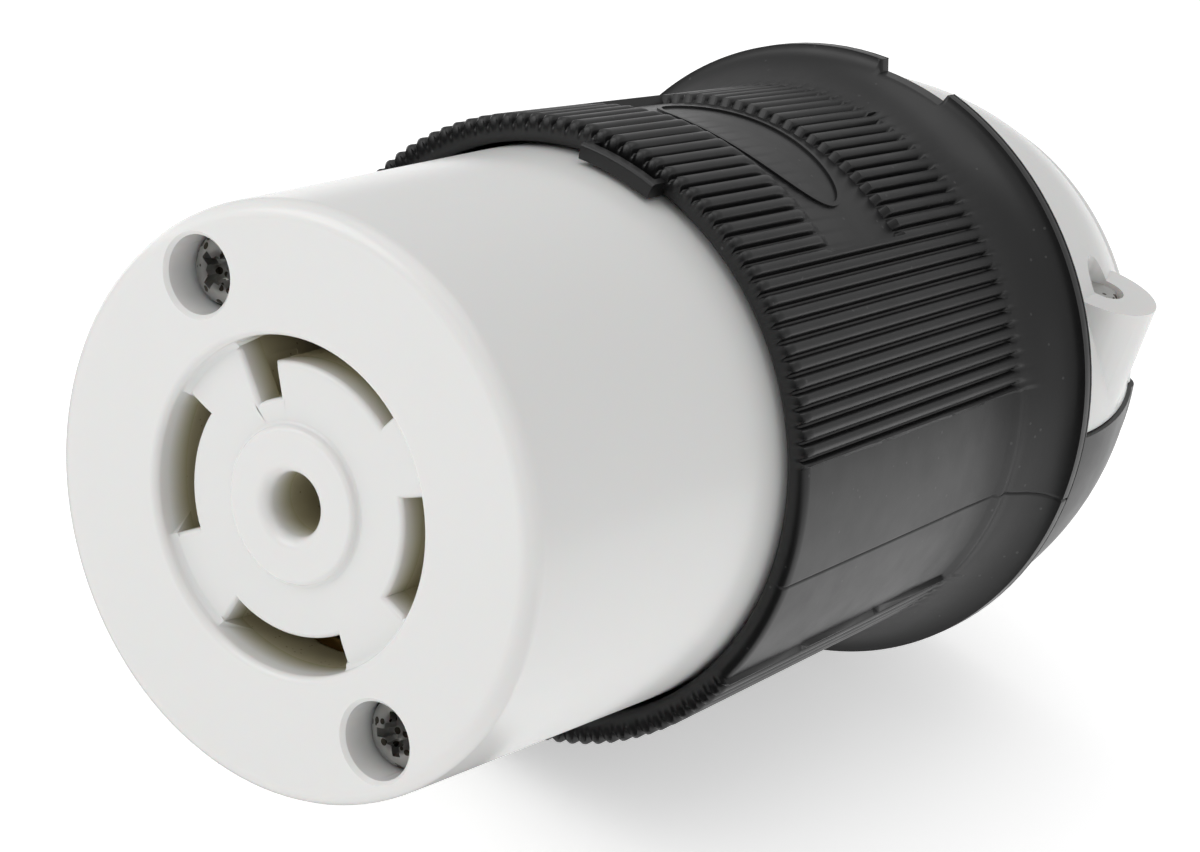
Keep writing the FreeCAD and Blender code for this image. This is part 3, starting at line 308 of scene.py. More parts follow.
def blended(tree, mask, first, second):
    """One colour or another, by a mask."""
    node = tree.nodes.new("ShaderNodeMix")
    node.data_type = "RGBA"
    tree.links.new(mask, node.inputs["Factor"])
    for socket, value in ((6, first), (7, second)):
        if isinstance(value, bpy.types.NodeSocket):
            tree.links.new(value, node.inputs[socket])
        else:
            node.inputs[socket].default_value = (*value, 1)
    return node.outputs[2]


print("shared groups:", sorted(SHARED))

# %% [markdown]
# A finish starts as a Principled shader whose fixed numbers sit on its own sockets. Colour,
# roughness and grain come from the groups. `finish` builds that common part, and each
# material adds what is special about it.

# %% The common part of a finish
def finish(name, colours, roughness, cloud_scale, grain, **fixed):
    """A material with two close colours and a roughness that drift with the cloudiness."""
    material = bpy.data.materials.new(name)
    material.use_nodes = True
    tree = material.node_tree
    shader = tree.nodes["Principled BSDF"]
    for socket, value in fixed.items():
        shader.inputs[socket.replace("_", " ")].default_value = value
    drift = shared(tree, "cloud", Scale=cloud_scale)
    tree.links.new(blended(tree, drift, *colours), shader.inputs["Base Color"])
    tree.links.new(shared(tree, "cloud", Scale=cloud_scale * 3, Low=roughness[0], High=roughness[1]),
                   shader.inputs["Roughness"])
    tree.links.new(shared(tree, "grain", Scale=grain[0], Strength=grain[1], Depth=grain[2]),
                   shader.inputs["Normal"])
    return material, tree, shader


def recolour(tree, shader, mask, colour):
    """Lay a colour over a material's base colour where a mask is 1."""
    base = shader.inputs["Base Color"].links[0].from_socket
    tree.links.new(blended(tree, mask, base, colour), shader.inputs["Base Color"])


# %% [markdown]
# White nylon is glossy and slightly translucent, so it has a little subsurface light. Deep
# in the slots a painted warm shade, a darker straw colour, stands in for the light that has passed
# through the plastic several times and turned warm: a mask by depth behind the face and closeness
# to the axis paints it, and ends before the cord end, where the same nylon is plain white.

# %% White nylon
# Where the painted warm shade starts and where it is full, in millimetres: by depth behind the face,
# by distance from the axis, and by distance back, which keeps it out of the cord end.
PAINTED_SHADE_BEHIND, PAINTED_SHADE_INSIDE, PAINTED_SHADE_IN_FRONT = (1.6, 4), (16, 15), (50, 40)


def white_nylon():
    material, tree, shader = finish(
        "white_nylon", ((0.78, 0.78, 0.77), (0.772, 0.772, 0.76)), (0.23, 0.26),
        cloud_scale=35.0, grain=(2200.0, 0.05, 0.00002), Subsurface_Weight=0.12, Subsurface_Scale=0.002,
        Specular_IOR_Level=0.55)
    place = add_node(tree, "ShaderNodeSeparateXYZ", Vector=object_place(tree))
    deep = ramp(tree, place.outputs["Y"], *PAINTED_SHADE_BEHIND)
    length = tree.nodes.new("ShaderNodeVectorMath")
    length.operation = "LENGTH"
    flat = add_node(tree, "ShaderNodeCombineXYZ", X=place.outputs["X"], Z=place.outputs["Z"])
    tree.links.new(flat.outputs["Vector"], length.inputs[0])
    inner = ramp(tree, length.outputs["Value"], *PAINTED_SHADE_INSIDE)
    in_front = ramp(tree, place.outputs["Y"], *PAINTED_SHADE_IN_FRONT)
    # Mask of the painted shade: deep behind the face, close to the axis, and in front of the cord end.
    mask = combined(tree, "MULTIPLY", combined(tree, "MULTIPLY", deep, in_front), inner)
    # Painted warm shade in the slots: a darker straw colour that stands in for light passed through the
    # plastic.
    recolour(tree, shader, mask, (0.5, 0.46, 0.3))
    return material


# %% Black nylon, beige thermoset and seal rubber
def black_nylon():
    material, tree, shader = finish(
        "black_nylon", ((0.006, 0.006, 0.0062), (0.008, 0.008, 0.0082)), (0.34, 0.4),
        cloud_scale=90.0, grain=(1800.0, 0.16, 0.00003))
    recolour(tree, shader, shared(tree, "specks", Scale=1400.0, Size=0.2, Share=0.05),
             (0.04, 0.04, 0.04))
    return material


def beige_thermoset():
    material, tree, shader = finish(
        "beige_thermoset", ((0.46, 0.42, 0.28), (0.52, 0.48, 0.34)), (0.5, 0.65),
        cloud_scale=140.0, grain=(1200.0, 0.2, 0.00004))
    recolour(tree, shader, shared(tree, "specks", Scale=2000.0, Size=0.2, Share=0.2),
             (0.3, 0.25, 0.15))
    return material


def seal_rubber():
    return finish("seal_rubber", ((0.012, 0.012, 0.012), (0.02, 0.02, 0.02)), (0.6, 0.75),
                  cloud_scale=200.0, grain=(900.0, 0.3, 0.00005))[0]


# %% Metals
def plated(name, colours, roughness, tarnish=None):
    """A metal with a fine rolled grain and, if given, small dark oily specks."""
    material, tree, shader = finish(name, colours, roughness, cloud_scale=300.0,
                                    grain=(5000.0, 0.2, 0.00001), Metallic=1.0)
    if tarnish:
        recolour(tree, shader, shared(tree, "specks", Scale=1300.0, Size=0.42, Share=0.4), tarnish)
    return material


MATERIALS = {
    "white_nylon": white_nylon(),
    "black_nylon": black_nylon(),
    "beige_thermoset": beige_thermoset(),
    "seal_rubber": seal_rubber(),
    "zinc_steel": plated("zinc_steel", ((0.42, 0.42, 0.41), (0.56, 0.56, 0.54)), (0.28, 0.45),
                         (0.08, 0.07, 0.055)),
    "brass_contact": plated("brass_contact", ((0.72, 0.5, 0.22), (0.62, 0.41, 0.16)), (0.25, 0.4)),
    "brass_screw": plated("brass_screw", ((0.78, 0.58, 0.28), (0.68, 0.48, 0.2)), (0.2, 0.35)),
    "silver_screw": plated("silver_screw", ((0.75, 0.74, 0.72), (0.66, 0.65, 0.63)), (0.18, 0.3)),
    "green_screw": plated("green_screw", ((0.05, 0.3, 0.12), (0.04, 0.24, 0.1)), (0.3, 0.42)),
}
SLOT_OF = {part["node"]: part["material_slot"] for part in frame["record"]["subparts"]}
for node_name, node_object in frame["nodes"].items():
    node_object.data.materials.clear()
    node_object.data.materials.append(MATERIALS[SLOT_OF[node_name]])
print("finished nodes:", len(SLOT_OF))

# %% [markdown]
# ## Modelling helpers
# Most of the connector is turned, so its pieces start as an outline of (radius, distance)
# corners. The outline is a flat face; a vertex bevel rounds each corner that has a rounding;
# then the outline is spun round Y.

# %% Helpers for turned pieces
def rounded_outline(corners):
    """A flat closed outline of (radius, distance, rounding) corners in millimetres."""
    bm = bmesh.new()
    verts = [bm.verts.new((radius * MM, along * MM, 0)) for radius, along, _ in corners]
    bm.faces.new(verts)
    for vert, (_, _, rounding) in zip(verts, corners):
        if rounding:
            bmesh.ops.bevel(bm, geom=[vert], offset=rounding * MM, offset_type="OFFSET",
                            segments=6, profile=0.5, affect="VERTICES", material=-1)
    bmesh.ops.delete(bm, geom=bm.faces[:], context="FACES_ONLY")
    return bm


def angle_of(place):
    """Angle round the axis, from +Z towards +X, in degrees."""
    return math.degrees(math.atan2(place.x, place.z))


def radius_of(place):
    return math.hypot(place.x, place.z) / MM


def at(radius, angle, along):
    """The point at a radius, an angle and a distance, given in millimetres and degrees."""
    turn = math.radians(angle)
    return Vector((radius * math.sin(turn), along, radius * math.cos(turn))) * MM


def spun_between(bm, marks, step):
    """Spin the outline in bm from the first mark to the last, in even steps between marks."""
    bmesh.ops.rotate(bm, verts=bm.verts[:], cent=(0, 0, 0),
                     matrix=Matrix.Rotation(math.radians(marks[0] - 90), 3, "Y"))
    last = bm.verts[:] + bm.edges[:]
    for start, end in zip(marks, marks[1:]):
        steps = max(1, round((end - start) / step))
        last = bmesh.ops.spin(bm, geom=last, cent=(0, 0, 0), axis=(0, 1, 0), dvec=(0, 0, 0),
                              angle=math.radians(end - start), steps=steps,
                              use_duplicate=False)["geom_last"]
    bmesh.ops.remove_doubles(bm, verts=bm.verts[:], dist=0.0005 * MM)
    bmesh.ops.recalc_face_normals(bm, faces=bm.faces[:])
    return bm


def as_piece(bm, name, body, slot, replaced, smooth_below=35):
    """Turn a bmesh into a piece that rides on a body, takes a finish and replaces nodes."""
    mesh = bpy.data.meshes.new(name)
    bm.to_mesh(mesh)
    bm.free()
    piece = bpy.data.objects.new(name, mesh)
    bpy.context.scene.collection.objects.link(piece)
    mesh.shade_smooth()
    mesh.set_sharp_from_angle(angle=math.radians(smooth_below))
    mesh.materials.append(MATERIALS[slot])
    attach(piece, body)
    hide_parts(*replaced)
    print(name, len(mesh.polygons), "faces")
    return piece


def even_shading(piece):
    """Let large flat faces decide the normals of the small roundings beside them."""
    piece.modifiers.new("even_shading", "WEIGHTED_NORMAL").keep_sharp = True


# %% [markdown]
# ## Front shell
# On the real connector the front shell is one moulding: a round cup with a thick face. The
# face has a sunk middle, a raised ring round the ground hole and four curved slots. A
# boolean would cut the slots, but its edges are awkward to round. So the outline is spun
# stretch by stretch, with a seam at the end of every slot. Then a slot is just a patch of
# faces that is deleted in front and behind, and the two openings are bridged into a wall.

# %% Sizes of the face
SLOTS = {"x": (58.0, 103.0), "y": (136.3, 194.3), "z": (230.2, 283.2), "neutral": (-46.0, 28.2)}
SLOT_INNER, SLOT_OUTER, HOOKED_INNER = 11.4, 14.4, 12.1
HOOK_TIP, HOOK_ANGLE = 9.0, 15.0
RECESS, FACE_WALL, BOSS_RISE = 1.3, 4.0, 0.7
HOLE_RADIUS, BOSS_RADIUS = 2.75, 6.6
SHELL_WALL, FACE_DRAFT = 2.2, 0.35
SPIN_STEP = 3.0
LIP_ROUNDING = 0.8


def face_marks():
    """Angles where the face has a seam: both ends of every slot, and the hook's end."""
    marks = {SLOTS["neutral"][0] + HOOK_ANGLE}
    for start, end in SLOTS.values():
        marks |= {start, end}
    first = SLOTS["neutral"][0]
    return sorted(marks) + [first + 360]


FACE_OUTLINE = [
    (HOLE_RADIUS, RECESS - BOSS_RISE, 1.1), (BOSS_RADIUS, RECESS - BOSS_RISE, 0.35),
    (BOSS_RADIUS + 0.3, RECESS, 0.25), (HOOK_TIP, RECESS, 0), (SLOT_INNER, RECESS, 0),
    (HOOKED_INNER, RECESS, 0), (SLOT_OUTER, RECESS, 0.6), (SLOT_OUTER, 0, 0.7),
    (SHELL_RADIUS - FACE_DRAFT, 0, 1.6), (SHELL_RADIUS, SHELL_END, 0.4),
    (SHELL_RADIUS - SHELL_WALL, SHELL_END, 0.4), (SHELL_RADIUS - SHELL_WALL, FACE_WALL, 0),
    (SLOT_OUTER, FACE_WALL, 0), (HOOKED_INNER, FACE_WALL, 0), (SLOT_INNER, FACE_WALL, 0),
    (HOOK_TIP, FACE_WALL, 0), (HOLE_RADIUS, FACE_WALL, 0),
]
print("seams at", face_marks())


# %% Cut the slots out of the spun face
def in_slot(place):
    """Whether a point of the face belongs to a slot or to the hook."""
    radius, angle = radius_of(place), angle_of(place)
    for name, (start, end) in SLOTS.items():
        inner = HOOKED_INNER if name == "neutral" else SLOT_INNER
        turned = (angle - start) % 360
        if turned < end - start and inner < radius < SLOT_OUTER:
            return True
        if name == "neutral" and turned < HOOK_ANGLE and HOOK_TIP < radius < SLOT_OUTER:
            return True
    return False


def open_slots(bm):
    """Delete the slots' faces in front and behind, and bridge each pair of openings."""
    flat = [face for face in bm.faces
            if abs(face.normal.y) > 0.1 and in_slot(face.calc_center_median())
            and face.calc_center_median().y < (FACE_WALL + 0.1) * MM]
    bmesh.ops.delete(bm, geom=flat, context="FACES")
    rims = [edge for edge in bm.edges if edge.is_boundary]
    for start, end in SLOTS.values():
        middle, half = (start + end) / 2, (end - start) / 2 + 1
        pair = [edge for edge in rims if abs(
            (angle_of((edge.verts[0].co + edge.verts[1].co) / 2) - middle + 180) % 360 - 180) < half]
        bmesh.ops.bridge_loops(bm, edges=pair)
    bmesh.ops.recalc_face_normals(bm, faces=bm.faces[:])


def slot_lips(bm):
    """The edges where the sunk middle turns down into a slot."""
    lips = []
    for edge in bm.edges:
        ends = [vert.co for vert in edge.verts]
        level = all(abs(place.y - RECESS * MM) < 0.01 * MM for place in ends)
        if level and len(edge.link_faces) == 2 and edge.calc_face_angle() > math.radians(60):
            if max(radius_of(place) for place in ends) < SLOT_OUTER + 0.01 \
                    and not all(radius_of(place) > SLOT_OUTER - 0.01 for place in ends):
                lips.append(edge)
    return lips


# %% Spin the shell and round its lips
def front_shell():
    bm = spun_between(rounded_outline(FACE_OUTLINE), face_marks(), SPIN_STEP)
    open_slots(bm)
    lips = slot_lips(bm)
    bmesh.ops.bevel(bm, geom=lips, offset=LIP_ROUNDING * MM, offset_type="OFFSET", segments=4,
                    profile=0.5, affect="EDGES", material=-1, clamp_overlap=True)
    print("rounded", len(lips), "lip edges")
    return bm


# %% [markdown]
# The two long screws sit in round pockets. A pocket lies across the spun seams and its rim
# runs into the rounded edge of the face, so here a boolean is the simple way. The cutter
# has a flared mouth, which bevels the rim.

# %% Cut the screw pockets
SCREW_CIRCLE, SCREW_ANGLES = 20.7, (-48.0, 132.0)
POCKET_RADIUS, POCKET_DEPTH, POCKET_FLARE = 3.4, 5.0, 0.35
SCREW_STEP = 7.5


def pocket_cutter():
    """Two plugs with a flared mouth, one for each screw pocket."""
    plugs = bmesh.new()
    for angle in SCREW_ANGLES:
        plug = rounded_outline([(0, -1, 0), (POCKET_RADIUS + POCKET_FLARE, -1, 0),
                                (POCKET_RADIUS + POCKET_FLARE, 0, 0), (POCKET_RADIUS, 0.02, 0),
                                (POCKET_RADIUS, POCKET_DEPTH, 0.3), (0, POCKET_DEPTH, 0)])
        mouth = [vert for vert in plug.verts
                 if abs(vert.co.y) < 0.1 * MM and vert.co.x < (POCKET_RADIUS + 0.1) * MM]
        bmesh.ops.translate(plug, verts=mouth, vec=(0, POCKET_FLARE * MM, 0))
        spun_between(plug, (0, 360), SCREW_STEP)
        bmesh.ops.translate(plug, verts=plug.verts[:], vec=at(SCREW_CIRCLE, angle, 0))
        mesh = bpy.data.meshes.new("plug")
        plug.to_mesh(mesh)
        plug.free()
        plugs.from_mesh(mesh)
    return plugs


def cut(bm, cutter_bm, name):
    """The first mesh without the second, as a new mesh in the same bmesh."""
    holders = []
    for label, source in ((name, bm), (name + "_cutter", cutter_bm)):
        mesh = bpy.data.meshes.new(label)
        source.to_mesh(mesh)
        holders.append(bpy.data.objects.new(label, mesh))
        bpy.context.scene.collection.objects.link(holders[-1])
    boolean = holders[0].modifiers.new("cut", "BOOLEAN")
    boolean.object = holders[1]
    boolean.operation = "DIFFERENCE"
    boolean.solver = "EXACT"
    shaped = holders[0].evaluated_get(bpy.context.evaluated_depsgraph_get()).to_mesh()
    bm.clear()
    bm.from_mesh(shaped)
    for holder in holders:
        bpy.data.objects.remove(holder)
    cutter_bm.free()
    return bm


shell_piece = as_piece(cut(front_shell(), pocket_cutter(), "shell_blank"), "front_shell", "interior",
                       "white_nylon", ["face_body"])
even_shading(shell_piece)

# %% [markdown]
# ## Ribbed housing
# The housing is a black tube that grows a skirt at its end. Its grip is a field of ribs
# three degrees apart, above and below, with plain sides between, and a plain band crosses
# the upper ribs. Modelling each rib alone would leave seams. Here the whole tube is spun
# with ten columns of faces for each rib, and then each point is moved in or out by a formula
# of its angle and its distance, much like a sculptor's brush.

# %% Sizes of the housing
LIP, RIBS_END, RIM, RIM_END = 35.0, 74.4, 80.9, 82.2
CREST_FRONT, CREST_REAR = 28.9, 27.3
BORE = SHELL_RADIUS + 0.3
CHAMBER, SHOULDER = 24.4, 55.3
RIB_PITCH, RIB_DEPTH, RIBBED_HALF = 3.0, 0.8, 67.5
SIDE_DROP, BAND_DROP, BAND_HALF = 0.5, 0.85, 31.0
BAND = (48.4, 61.1)
NOTCH_HALF, NOTCH_RADIUS = 7.5, 29.4
SEAM_DROP = 0.14
LIP_BEVEL, LIP_EDGE, RIM_EDGE, RIM_CHAMFER = 0.7, 0.35, 0.35, 0.15
FLARE_BEND, FLARE_EASE = 2.2, 0.8
# Lengths over which the plain sides and the ribs fade into the skirt, and the band's slopes.
FADE_START, SIDE_FADE, RIB_FADE = 0.4, 3.0, 1.4
BAND_FOOT, BAND_SLOPE, BAND_STEP = 1.0, 1.6, 0.1
# Rings along the grip, close together at the two ends of the band.
GRIP_RINGS = [42, 47.2, 47.8, 48.6, 49.4, 50.0, 55, 60.9, 61.0, 61.4, 62.2, 68]
# Inside this much past the bore nothing moves. The seam is a column of points on each side.
STILL_PAST_BORE, SEAM_HALF, SEAM_REACH, NUDGE = 1.0, 0.1, 0.3, 1e-4
# Where the ten columns of one rib stand, as shares of the pitch, and how deep each is.
RIB_SHAPE = [(0.0, 1.0), (0.07, 0.96), (0.13, 0.6), (0.2, 0.22), (0.32, 0.05),
             (0.5, 0.0), (0.68, 0.05), (0.8, 0.22), (0.87, 0.6), (0.93, 0.96)]


def crest_at(along):
    """Radius over the ribs at a distance, with the hollow flare of the skirt behind them."""
    if along <= RIBS_END:
        return CREST_FRONT + (CREST_REAR - CREST_FRONT) * (along - LIP) / (RIBS_END - LIP)
    share = (along - RIBS_END) / (RIM - RIBS_END)
    rise = (1 - math.sqrt(max(0, 1 - share ** FLARE_BEND))) ** FLARE_EASE
    return CREST_REAR + (SKIRT_RADIUS - CREST_REAR) * rise


def housing_outline():
    """Rings close together where the surface turns, and far apart where it is straight."""
    outside = [LIP + LIP_EDGE, LIP + 1.2, *GRIP_RINGS, RIBS_END - 0.6, RIBS_END]
    flare = [RIBS_END + (RIM - RIBS_END) * math.sin(math.radians(turn)) for turn in range(10, 90, 8)]
    return ([(BORE + LIP_BEVEL, LIP, 0), (CREST_FRONT - LIP_EDGE, LIP, 0)]
            + [(crest_at(along), along, 0) for along in outside + flare]
            + [(SKIRT_RADIUS, RIM, 0), (SKIRT_RADIUS, RIM + RIM_EDGE, 0),
               (SKIRT_RADIUS, RIM_END - RIM_EDGE, 0), (SKIRT_RADIUS - RIM_CHAMFER, RIM_END, 0),
               (CREST_FRONT, RIM_END, 0), (CHAMBER, RIM_END, 0), (CHAMBER, SHOULDER, 0),
               (BORE, SHOULDER, 0), (BORE, LIP + LIP_BEVEL, 0)])


print("rings:", len(housing_outline()))

# %% [markdown]
# `smooth_step` is the soft ramp that blends one depth into the next. `sunk_by` decides by
# angle and distance which depth a point has, and `shape_housing` moves the points.

# %% How far each point is sunk
def smooth_step(value, low, high):
    """0 below low, 1 above high and a soft ramp between."""
    share = min(1, max(0, (value - low) / (high - low)))
    return share * share * (3 - 2 * share)


def sunk_by(angle, along, rib_drop):
    """How far the outside is below the crests, in millimetres."""
    side = abs(abs(angle) - 90) < 90 - RIBBED_HALF
    drop = SIDE_DROP if side else rib_drop * RIB_DEPTH
    fade = 1 - smooth_step(along, RIBS_END - FADE_START, RIBS_END + (SIDE_FADE if side else RIB_FADE))
    if not side and abs(angle) < BAND_HALF:
        into = smooth_step(along, BAND[0] - BAND_FOOT, BAND[0] + BAND_SLOPE)
        into *= 1 - smooth_step(along, BAND[1] - BAND_STEP, BAND[1])
        drop += (BAND_DROP - drop) * into
    return drop * fade


def shape_housing(bm):
    """Sink the valleys, the plain sides, the band, the rim's notch and the moulding seams."""
    for vert in bm.verts:
        radius, angle, along = radius_of(vert.co), angle_of(vert.co), vert.co.y / MM
        if radius < BORE + STILL_PAST_BORE:
            continue
        pitches = angle / RIB_PITCH
        rib = math.floor(pitches + NUDGE)
        column = round((pitches - rib) * len(RIB_SHAPE)) % len(RIB_SHAPE)
        share, rib_drop = RIB_SHAPE[column]
        if abs(abs(angle) - 90) > 90 - RIBBED_HALF:
            angle = (rib + share) * RIB_PITCH
        if along < RIM:
            radius -= sunk_by(angle, along, rib_drop)
        if abs(angle) < NOTCH_HALF and radius > NOTCH_RADIUS:
            radius = NOTCH_RADIUS
        if abs(abs(angle) - 90) < SEAM_HALF and radius > CREST_REAR - SIDE_DROP - SEAM_REACH:
            radius -= SEAM_DROP
        vert.co = at(radius, angle, along)


def ribbed_housing():
    bm = spun_between(rounded_outline(housing_outline()), (0, 360), RIB_PITCH / len(RIB_SHAPE))
    shape_housing(bm)
    bmesh.ops.recalc_face_normals(bm, faces=bm.faces[:])
    return bm


as_piece(ribbed_housing(), "ribbed_housing", "housing", "black_nylon",
         ["housing_shell"], smooth_below=50)

# %% [markdown]
# ## Key tab
# A small tab on the housing's lip shows how to line the connector up. It is a short arc of
# a plain block, so it is a partial spin. Its top is inset and pushed down, which leaves the
# dark trough behind its front wall.

# %% Key tab
KEY_HALF, KEY_REACH, KEY_THICK, KEY_WALL = 8.5, 2.0, 1.5, 0.65
KEY_ROOT, KEY_FRONT, TROUGH_SLOPE, TROUGH_DEPTH = 1, 0.4, 0.1, 0.9


def key_tab():
    bm = rounded_outline([(BORE, LIP - KEY_REACH, 0.15), (BORE + KEY_THICK, LIP - KEY_REACH, 0.35),
                          (BORE + KEY_THICK, LIP + KEY_ROOT, 0), (BORE, LIP + KEY_ROOT, 0)])
    bmesh.ops.rotate(bm, verts=bm.verts[:], cent=(0, 0, 0),
                     matrix=Matrix.Rotation(math.radians(-KEY_HALF - 90), 3, "Y"))
    first_end = bmesh.ops.contextual_create(bm, geom=bm.edges[:])["faces"]
    bmesh.ops.spin(bm, geom=first_end, cent=(0, 0, 0), axis=(0, 1, 0), dvec=(0, 0, 0),
                   angle=math.radians(2 * KEY_HALF), steps=10, use_duplicate=False)
    bmesh.ops.remove_doubles(bm, verts=bm.verts[:], dist=0.001 * MM)
    bmesh.ops.recalc_face_normals(bm, faces=bm.faces[:])
    top = [face for face in bm.faces if radius_of(face.calc_center_median()) > BORE + KEY_THICK - 0.1
           and LIP - KEY_REACH + KEY_FRONT < face.calc_center_median().y / MM]
    bmesh.ops.inset_region(bm, faces=top, thickness=KEY_WALL * MM, depth=0, use_even_offset=True)
    bmesh.ops.inset_region(bm, faces=top, thickness=TROUGH_SLOPE * MM, depth=-TROUGH_DEPTH * MM,
                           use_even_offset=True)
    return bm


key_piece = as_piece(key_tab(), "key_tab", "housing", "black_nylon", ["housing_shell"])
even_shading(key_piece)

# %% [markdown]
# ## Jaws at the cord end
# The lower jaw belongs to the housing, the white upper jaw is screwed down on it. Their
# shapes come from the engineering model, which has knife-sharp edges, loose triangles and two
# loose slivers beside the lower jaw. So a copy is merged, the lower jaw keeps only its largest
# island, flat areas are joined again, and a bevel breaks every sharp edge by a quarter of a
# millimetre, as a mould does.

# %% Copies with broken edges
WELD, FLAT_WITHIN = 0.002 * MM, math.radians(0.5)
EDGE_BEVEL, BEVEL_ABOVE = 0.25 * MM, math.radians(35)
JAW_START = RIM_END - 0.2


def welded_copy(node):
    """A bmesh of a node with its loose triangles welded."""
    bm = bmesh.new()
    bm.from_mesh(frame["nodes"][node].data)
    bmesh.ops.remove_doubles(bm, verts=bm.verts[:], dist=WELD)
    return bm


def flat_joined(bm):
    """The same mesh with each flat area as one face."""
    bmesh.ops.dissolve_limit(bm, angle_limit=FLAT_WITHIN, verts=bm.verts[:], edges=bm.edges[:],
                             use_dissolve_boundaries=False)
    return bm


def break_edges(piece):
    """A narrow bevel on every sharp edge."""
    bevel = piece.modifiers.new("broken_edges", "BEVEL")
    bevel.width = EDGE_BEVEL
    bevel.segments = 3
    bevel.limit_method = "ANGLE"
    bevel.angle_limit = BEVEL_ABOVE
    bevel.harden_normals = True
    bevel.use_clamp_overlap = True


def loose_bits(bm):
    """The points of every island but the largest."""
    islands, left = [], set(bm.verts)
    while left:
        island, to_visit = set(), [left.pop()]
        while to_visit:
            vert = to_visit.pop()
            island.add(vert)
            near = {edge.other_vert(vert) for edge in vert.link_edges} & left
            left -= near
            to_visit += near
        islands.append(island)
    islands.sort(key=len)
    return [vert for island in islands[:-1] for vert in island]


def lower_jaw():
    """The part of the housing behind the skirt, closed in front."""
    bm = welded_copy("housing_shell")
    cut_plane = bmesh.ops.bisect_plane(
        bm, geom=bm.verts[:] + bm.edges[:] + bm.faces[:], dist=1e-6,
        plane_co=(0, JAW_START * MM, 0), plane_no=(0, 1, 0), clear_inner=True)
    rim = [item for item in cut_plane["geom_cut"] if isinstance(item, bmesh.types.BMEdge)]
    bmesh.ops.holes_fill(bm, edges=rim, sides=0)
    bmesh.ops.delete(bm, geom=loose_bits(bm), context="VERTS")
    return flat_joined(bm)


break_edges(as_piece(lower_jaw(), "lower_jaw", "housing", "black_nylon", ["housing_shell"]))
break_edges(as_piece(flat_joined(welded_copy("cord_clamp")), "upper_jaw", "clamp", "white_nylon",
                     ["cord_clamp"]))

# %% [markdown]
# ## Screw heads
# The screws' heads have a recess that takes a cross or a square driver. Each long screw is
# redrawn: its blank is spun with a softly domed head, and the recess is cut out of it.

# %% Screw heads
HEAD_RADIUS, HEAD_HEIGHT, SHANK_RADIUS, SCREW_END = 3.1, 2.4, 2.0, 71.9
HEAD_CROWN, CROWN_ROUND = 0.9, 0.8
RECESS_REACH, RECESS_WIDTH, SOCKET_HALF, RECESS_DEPTH = 2.1, 0.85, 0.95, 1.3
SOCKET_CORNER, CUT_IN_FRONT, RECESS_TAPER = 0.15, 0.5, 0.75


def screw_blank():
    """A screw along +Y, its seat at 0, its head in front of the seat."""
    blank = rounded_outline([(0, -HEAD_HEIGHT, 0), (HEAD_RADIUS - HEAD_CROWN, -HEAD_HEIGHT, CROWN_ROUND),
                             (HEAD_RADIUS, -HEAD_HEIGHT + CROWN_ROUND, 0.3), (HEAD_RADIUS, 0, 0.1),
                             (SHANK_RADIUS, 0, 0), (SHANK_RADIUS, SCREW_END - POCKET_DEPTH, 0.3),
                             (0, SCREW_END - POCKET_DEPTH, 0)])
    return spun_between(blank, (0, 360), SCREW_STEP)


def recess_cutter():
    """Two crossed bars and a square peg between them, as one star-shaped prism."""
    reach, half, peg = RECESS_REACH, RECESS_WIDTH / 2, SOCKET_HALF
    quarter = [(reach, -half), (reach, half), (peg + SOCKET_CORNER, half), (peg, peg),
               (half, peg + SOCKET_CORNER)]
    corners = []
    for turn in range(4):
        for x, z in quarter:
            for _ in range(turn):
                x, z = -z, x
            corners.append((x * MM, -(HEAD_HEIGHT + CUT_IN_FRONT) * MM, z * MM))
    star = bmesh.new()
    face = star.faces.new([star.verts.new(corner) for corner in corners])
    pushed = bmesh.ops.extrude_face_region(star, geom=[face])["geom"]
    ends = [item for item in pushed if isinstance(item, bmesh.types.BMVert)]
    bmesh.ops.translate(star, verts=ends, vec=(0, (RECESS_DEPTH + CUT_IN_FRONT) * MM, 0))
    bmesh.ops.scale(star, verts=ends, vec=(RECESS_TAPER, 1, RECESS_TAPER))
    bmesh.ops.recalc_face_normals(star, faces=star.faces[:])
    return star


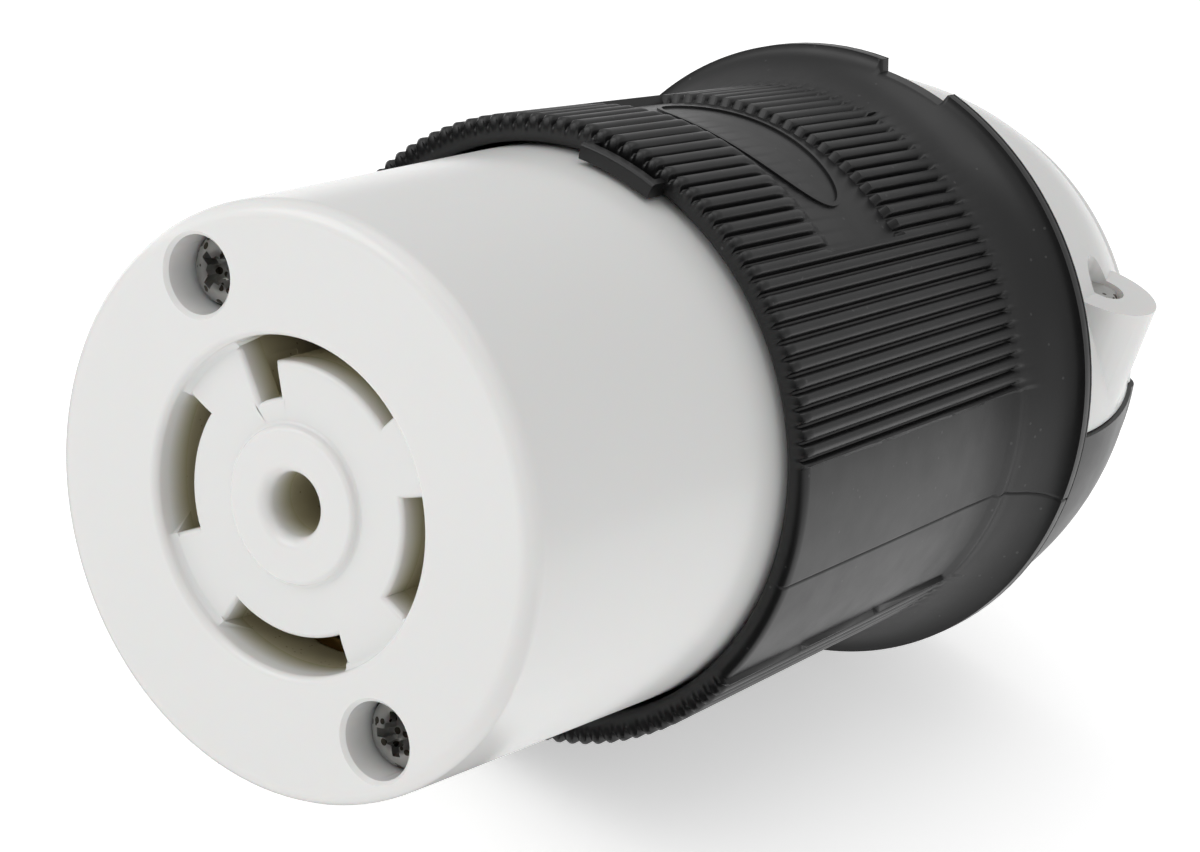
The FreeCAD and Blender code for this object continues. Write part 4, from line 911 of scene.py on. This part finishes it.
for place_name, angle, turn in (("upper", SCREW_ANGLES[0], 20), ("lower", SCREW_ANGLES[1], 65)):
    head = cut(screw_blank(), recess_cutter(), "screw_" + place_name)
    bmesh.ops.rotate(head, verts=head.verts[:], cent=(0, 0, 0),
                     matrix=Matrix.Rotation(math.radians(turn), 3, "Y"))
    bmesh.ops.translate(head, verts=head.verts[:], vec=at(SCREW_CIRCLE, angle, POCKET_DEPTH))
    as_piece(head, "long_screw_" + place_name, "long_screw_" + place_name, "zinc_steel",
             ["assembly_screw_" + place_name])

# %% [markdown]
# ## Outline on the plain band
# The plain band carries a low raised oval, a plain stand-in for a badge. It is a thin strip
# bent onto the band by writing its points as an angle and a distance.

# %% Raised oval
OVAL_ALONG, OVAL_HALF_LENGTH, OVAL_HALF_ANGLE = 54.6, 5.0, 22.0
STRIP_WIDTH, STRIP_HEIGHT, STRIP_ROOT = 0.45, 0.22, 0.05


def band_surface(along):
    return crest_at(along) - BAND_DROP


def raised_strip(outer, inner):
    """A closed strip between two paths of (angle, distance) points, standing on the band."""
    bm = bmesh.new()
    rows = []
    for path, lift in ((outer, -STRIP_ROOT), (outer, STRIP_HEIGHT), (inner, STRIP_HEIGHT),
                       (inner, -STRIP_ROOT)):
        rows.append([bm.verts.new(at(band_surface(along) + lift, angle, along))
                     for angle, along in path])
    for first, second in zip(rows, rows[1:]):
        for index in range(len(outer)):
            after = (index + 1) % len(outer)
            bm.faces.new((first[index], first[after], second[after], second[index]))
    bmesh.ops.recalc_face_normals(bm, faces=bm.faces[:])
    return bm


def oval(grow):
    """Points of the oval, made larger or smaller by a distance."""
    per_degree = math.radians(1) * band_surface(OVAL_ALONG)
    return [((OVAL_HALF_ANGLE + grow / per_degree) * math.cos(math.radians(turn)),
             OVAL_ALONG + (OVAL_HALF_LENGTH + grow) * math.sin(math.radians(turn)))
            for turn in range(0, 360, 5)]


as_piece(raised_strip(oval(0), oval(-STRIP_WIDTH)), "band_oval", "housing", "black_nylon",
         ["housing_shell"])

# %% End
print("scene done")
